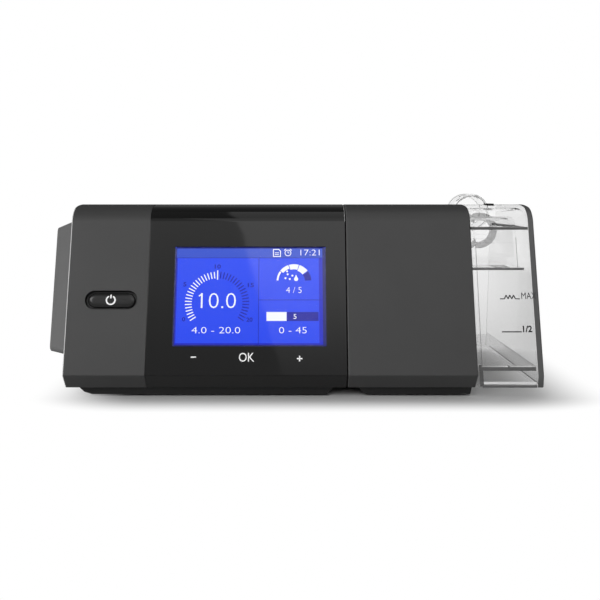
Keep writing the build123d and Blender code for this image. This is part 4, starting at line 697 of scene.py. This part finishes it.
RULE = 0.25                   # width of the dark rules
RULE_X = 4.05                 # left edge of the upright one
RULE_UP = -1.9                # lower edge of the one between the dial and the ramp
PAINTED_SHADE_LEFT = 0.8              # painted shade along the margins of the lit area
PAINTED_SHADE_RIGHT = 3.0
PAINTED_SHADE_FOOT = 1.4
PAINTED_RIM_OUT = 0.6                 # how far the painted rim of shade reaches out of the lit area, and into it
PAINTED_RIM_IN = {"left": 0.3, "right": 1.2, "foot": 0.6, "top": 0.2}


def draw_gauge(white, navy):
    """Pressure gauge with its scale, its reading and its range."""
    reading = TICKS // 2
    for step in range(TICKS):
        more = READING_MORE if step == reading else 0.0
        bar(white if step <= reading else navy, TICK_RADII[0] - more, TICK_RADII[1] + more,
            -TICK_HALF_WIDTH, TICK_HALF_WIDTH, FIRST_TICK - TICK_SWEEP * step / (TICKS - 1), GAUGE)
    width, height = SCALE_DIGIT
    for text, x, up in SCALE:
        half = width * len(text) / 2
        lettering(navy, text, x - half, x + half, up, up + height, SCALE_WEIGHT)
    lettering(white, *READING)
    bar(white, *READING_FLAG)
    lettering(white, *PRESSURE_RANGE)


def draw_dial(white, navy):
    """Humidity dial of five steps that grow wider, with vapour and a drop in it."""
    last = len(DIAL_WIDTHS) - 1
    for step, width in enumerate(DIAL_WIDTHS):
        ring(navy if step == last else white, DIAL, DIAL_RADIUS - width, DIAL_RADIUS,
             DIAL_START - DIAL_PITCH * step, -DIAL_SWEEP, 8)
    for centre in VAPOUR:
        disc(white, centre, VAPOUR_RADIUS)
    disc(white, *DROP)
    lettering(white, *HUMIDITY)


def draw_ramp(white, navy):
    """Bar of the ramp time, with its value and its range."""
    bar(white, *RAMP_DONE)
    bar(navy, *RAMP_TO_GO)
    lettering(white, *RAMP_VALUE)
    lettering(white, *RAMP_RANGE)


def draw_status(white):
    """Signs of the status bar: data card, alarm clock and time."""
    for limits in CARD_SIGN:
        bar(white, *limits)
    ring(white, CLOCK, *CLOCK_RADII, steps=28)
    for limits in CLOCK_HANDS:
        bar(white, *limits, about=CLOCK)
    for start in BELL_STARTS:
        ring(white, CLOCK, *BELL_RADII, start, BELL_SWEEP, 4)
    lettering(white, *TIME)


def draw_fields(status, rules, shade, rim):
    """Status bar, dark rules between the fields, and painted shade: dimmed margins and a dark rim
    of the screen.
    """
    wide, high = LCD_HALF_WIDTH, LCD_HALF_HEIGHT
    field_top = STATUS_FOOT - RULE
    bar(status, -wide, wide, STATUS_FOOT, high)
    bar(rules, RULE_X, RULE_X + RULE, -high, STATUS_FOOT)
    bar(rules, RULE_X, wide, RULE_UP, RULE_UP + RULE)
    bar(rules, -wide, wide, field_top, STATUS_FOOT)
    bar(shade, wide - PAINTED_SHADE_RIGHT, wide, -high, field_top)
    bar(shade, -wide, wide, -high, PAINTED_SHADE_FOOT - high)
    bar(shade, -wide, PAINTED_SHADE_LEFT - wide, -high, field_top)
    bar(rim, wide - PAINTED_RIM_IN["right"], wide + PAINTED_RIM_OUT, -high, high)
    bar(rim, -wide - PAINTED_RIM_OUT, PAINTED_RIM_IN["left"] - wide, -high, high)
    bar(rim, -wide, wide, -high - PAINTED_RIM_OUT, PAINTED_RIM_IN["foot"] - high)
    bar(rim, -wide, wide, high - PAINTED_RIM_IN["top"], high + PAINTED_RIM_OUT)


def add_picture():
    """Everything that the screen shows, one piece for each colour and depth."""
    drawings = [bmesh.new() for _ in SCREEN_LAYERS]
    status, rules, shade, rim, navy, white = drawings
    draw_gauge(white, navy)
    draw_dial(white, navy)
    draw_ramp(white, navy)
    draw_status(white)
    draw_fields(status, rules, shade, rim)
    for bm, (name, material, depth) in zip(drawings, SCREEN_LAYERS):
        add_piece(name, bm, material, "main_unit", on_face(LCD_X, LCD_UP, -depth))


# ---------------------------------------------------------------- marks on the face
# Millimetres along and up the face, in the same order as on the screen
KEY_BARS = ((-48.3, -45.7, 8.72, 9.3), (2.5, 5.2, 8.0, 8.6), (3.55, 4.15, 6.95, 9.65))
KEY_TEXT = ("OK", -25.2, -17.9, 6.8, 11.1)
LEVEL_BARS = (                # both ends of the full line, and the half line
    (101.4, 103.6, 37.3, 37.8), (109.0, 111.1, 37.3, 37.8), (101.4, 111.0, 21.0, 21.55),
)
LEVEL_TEXTS = (("MAX", 111.9, 119.2, 37.5, 40.7), ("1/2", 111.6, 116.1, 21.05, 24.35, 0.03))
PEAKS = 3                     # small peaks in the middle of the full line
PEAKS_UP = 37.5
FIRST_PEAK = 104.5
PEAK_HALF = 0.9
PEAK_TURN = 25
PEAK_STROKE = (-0.26, 0.26, 0.0, 2.15)


def add_key_legends():
    """Printed legends of the touch keys."""
    keys = bmesh.new()
    for limits in KEY_BARS:
        bar(keys, *limits)
    lettering(keys, *KEY_TEXT)
    add_piece("key_legends", keys, WHITE_PRINT, "main_unit",
              on_face(0, 0, PRINT_OUT))


def add_fill_marks():
    """Fill marks printed on the front wall of the water chamber."""
    marks = bmesh.new()
    for limits in LEVEL_BARS:
        bar(marks, *limits)
    for step in range(PEAKS):
        peak = FIRST_PEAK + 2 * PEAK_HALF * step
        for side in (-1, 1):
            bar(marks, *PEAK_STROKE, side * PEAK_TURN, (peak + side * PEAK_HALF, PEAKS_UP))
    for text in LEVEL_TEXTS:
        lettering(marks, *text)
    add_piece("fill_marks", marks, GREY_PRINT, "water_chamber",
              on_face(0, 0, PRINT_OUT))


# ---------------------------------------------------------------- power button
POWER_RING = (1.75, 2.45, 118, 304)     # radii in millimetres, start and sweep in degrees
POWER_STROKE = (-0.32, 0.32, 0.9, 2.8)


def cap_height(x, up):
    """How far out the pillowed cap stands at a point from its middle."""
    from_rim = CAP_RADIUS - math.hypot(max(abs(x) - CAP_HALF_LENGTH, 0), up)
    share = 1 - min(max(from_rim / CAP_PILLOW, 0), 1)
    return CAP_RIM + (CAP_TOP - CAP_RIM) * math.sqrt(1 - share ** 2)


def pillow_cap(cap):
    """The power button's copied cap gets a top that falls in a soft curve to its rim."""
    bm = bmesh.new()
    bm.from_mesh(cap.data)
    middle = on_face(BUTTON_X, BUTTON_UP, 0)
    bm.transform(middle.inverted())
    bm.normal_update()
    facing_out = [face for face in bm.faces
                  if face.normal.z > 0.99 and face.calc_center_median().z > CAP_RIM]
    top = max(facing_out, key=lambda face: face.calc_area())
    for _ in range(CAP_INSETS):
        bmesh.ops.inset_region(bm, faces=[top], thickness=CAP_INSET)
    for vert in bm.verts:
        if vert.co.z > CAP_RIM - 0.01:
            vert.co.z = cap_height(vert.co.x, vert.co.y)
    bm.transform(middle)
    bm.to_mesh(cap.data)
    bm.free()
    smooth_up_to(cap.data, CAP_CRISP_ANGLE)


def add_power_symbol():
    """Power symbol, bent over the button's pillowed cap."""
    power = bmesh.new()
    ring(power, (0, 0), *POWER_RING, 40)
    bar(power, *POWER_STROKE)
    bmesh.ops.subdivide_edges(power, edges=power.edges, cuts=3, use_grid_fill=True)
    for vert in power.verts:
        vert.co.z += cap_height(vert.co.x, vert.co.y) + PRINT / 2
    add_piece("power_symbol", power, WHITE_PRINT, "power_button",
              on_face(BUTTON_X + CAP_PRINT_SHIFT, BUTTON_UP, 0))


def slot_loop(bm, length, width, out):
    """Edges of a slot-shaped outline at a height out of the face."""
    half_step = Matrix.Rotation(math.pi / SHADE_LINER_SEGMENTS, 4, "Z")
    made = bmesh.ops.create_circle(bm, segments=SHADE_LINER_SEGMENTS, radius=width / 2,
                                   matrix=half_step)["verts"]
    for vert in made:
        vert.co.x += math.copysign((length - width) / 2, vert.co.x)
        vert.co.z = out
    return list({edge for vert in made for edge in vert.link_edges})


def add_button_shade_liner():
    """Dark funnel that lines the power button's recess; its black stands in partly for the shade in
    the recess, as painted shade.
    """
    bm = bmesh.new()
    loops = [slot_loop(bm, *size) for size in SHADE_LINER_LOOPS]
    for wide, narrow in zip(loops, loops[1:]):
        bmesh.ops.bridge_loops(bm, edges=wide + narrow)
    bmesh.ops.recalc_face_normals(bm, faces=bm.faces)
    bmesh.ops.solidify(bm, geom=bm.faces, thickness=PRINT)
    bezel = add_piece("button_shade_liner", bm, FINISHES["black_plastic"], "main_unit",
                      on_face(BUTTON_X, BUTTON_UP, 0))
    smooth_up_to(bezel.data, CAP_CRISP_ANGLE)


# ---------------------------------------------------------------- painted edges and springs
# Painted shade and painted highlights for the dark and bright edges that clear mouldings show where
# they are seen end-on: name, finish, height out of the face, and bars of left, right, low and high,
# in millimetres
CHAMBER_EDGES = (
    ("guide_edges", PAINTED_EDGE_GREY, -6.0, ((52.4, 116.0, 53.5, 54.7), (112.85, 113.05, 54.5, 70.5))),
    ("tub_edges", PAINTED_EDGE_GREY, -2.3, ((91.6, 117.4, 2.7, 4.5), (91.6, 117.4, -5.4, -4.2),
                               (91.3, 92.0, -5.4, 4.3), (91.5, 91.7, -5.4, 66.0))),
    ("tub_corner_shade", PAINTED_CORNER_SHADE, -2.3, ((90.1, 91.4, -4.9, 5.6),)),
    ("tub_hem_shine", PAINTED_HIGHLIGHT, -2.3, ((92.0, 117.3, -3.75, -2.55),)),
)
# Rims of the hose port, a grey one of painted shade and a bright painted highlight: name, finish,
# radii, and how far past an end of its free length
PORT_EDGES = (("port_neck_edge", PAINTED_SOFT_SHADE, (9.2, 9.6), -1, 1.2),
              ("port_end_edge", PAINTED_HIGHLIGHT, (9.5, 10.0), 1, 0.47))


def add_chamber_edges():
    """Painted shade and painted highlights along the edges of the water chamber's clear mouldings.
    """
    for name, finish, out, bars in CHAMBER_EDGES:
        bm = bmesh.new()
        for limits in bars:
            bar(bm, *limits)
        add_piece(name, bm, finish, "water_chamber", on_face(0, 0, out))


def add_port_edges():
    """Grey and bright rims that the clear hose port shows in its neck and at its end: painted shade
    and a painted highlight.
    """
    port = next(mount for mount in frame["record"]["mounts"] if mount["name"] == "hose_port")
    for name, finish, radii, end, past in PORT_EDGES:
        along = end * (port["dims"]["length_mm"] / 2 + past)
        rim = bmesh.new()
        ring(rim, (0, 0), *radii, steps=48)
        place = (Matrix.Translation(port["pos_m"]) @ Matrix.Scale(MM, 4)
                 @ Matrix.Translation((0, along, 0)) @ Matrix.Rotation(math.radians(90), 4, "X"))
        add_piece(name, rim, finish, "water_chamber", place)


def paint_rim_shade(panel):
    """The end panel's rim gets a grey band of painted shade over its front and top, for how its
    clear edge darkens seen end-on; the rest stays clear.
    """
    panel.data.materials.append(PAINTED_RIM_SHADE)
    for face in panel.data.polygons:
        on_rim = abs(face.normal.x) < 0.9 and face.normal.z > -0.9
        if on_rim and face.center.y < RIM_BAND_REAR * MM:
            face.material_index = 1


def paint_edge_highlight(name, side, finish, above=0.0):
    """The rounded edge that ends a shell, on its left (0) or its right (1), gets a lighter finish
    as a painted highlight.
    """
    mesh = shells[name].data
    mesh.materials.append(finish)
    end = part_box(name)[side][0]
    outwards = 2 * side - 1
    for face in mesh.polygons:
        rounded = 0.3 < outwards * face.normal.x < 0.95
        at_end = abs(face.center.x - end) < EDGE_REACH * MM
        if rounded and at_end and face.center.z > above * MM:
            face.material_index = 1


def shorten_with_heater(springs):
    """The springs' copy gets a mesh of its own."""
    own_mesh(springs)


# ---------------------------------------------------------------- the machine
for name, node in nodes.items():
    node.data.materials.clear()
    node.data.materials.append(FINISHES[slot_of_node(name)])
# The collar inside the chamber gets grey painted shade
nodes["guide_collar"].data.materials[0] = COLLAR_PAINTED_SHADE

shells = {name: add_shell(name, ease) for name, ease in EASES.items()}
paint_rim_shade(shells["chamber_end_panel"])
shorten_with_heater(shells["heater_springs"])
pillow_cap(shells["power_button"])
# Painted highlights on the rounded ends of the front cover, the lens and the humidifier cover
paint_edge_highlight("front_cover", 0, PAINTED_HIGHLIGHT)
paint_edge_highlight("display_lens", 1, PAINTED_HIGHLIGHT, above=LENS_SHINE_FROM)
paint_edge_highlight("humidifier_cover", 0, PAINTED_EDGE_GREY)

# Clear plastic throws no shadow
for obj in scene.objects:
    if obj.type == "MESH" and obj.data.materials[0] is FINISHES["clear_plastic"]:
        obj.visible_shadow = False

add_picture()
add_key_legends()
add_power_symbol()
add_button_shade_liner()
add_fill_marks()
add_chamber_edges()
add_port_edges()

scene.view_settings.view_transform = "Standard"
scene.cycles.max_bounces = scene.cycles.transmission_bounces = CLEAR_BOUNCES
scene.cycles.glossy_bounces = CLEAR_BOUNCES // 2
add_camera()
add_world()
add_cards()
add_floor()
for lamp in LAMPS:
    add_soft_box(*lamp)
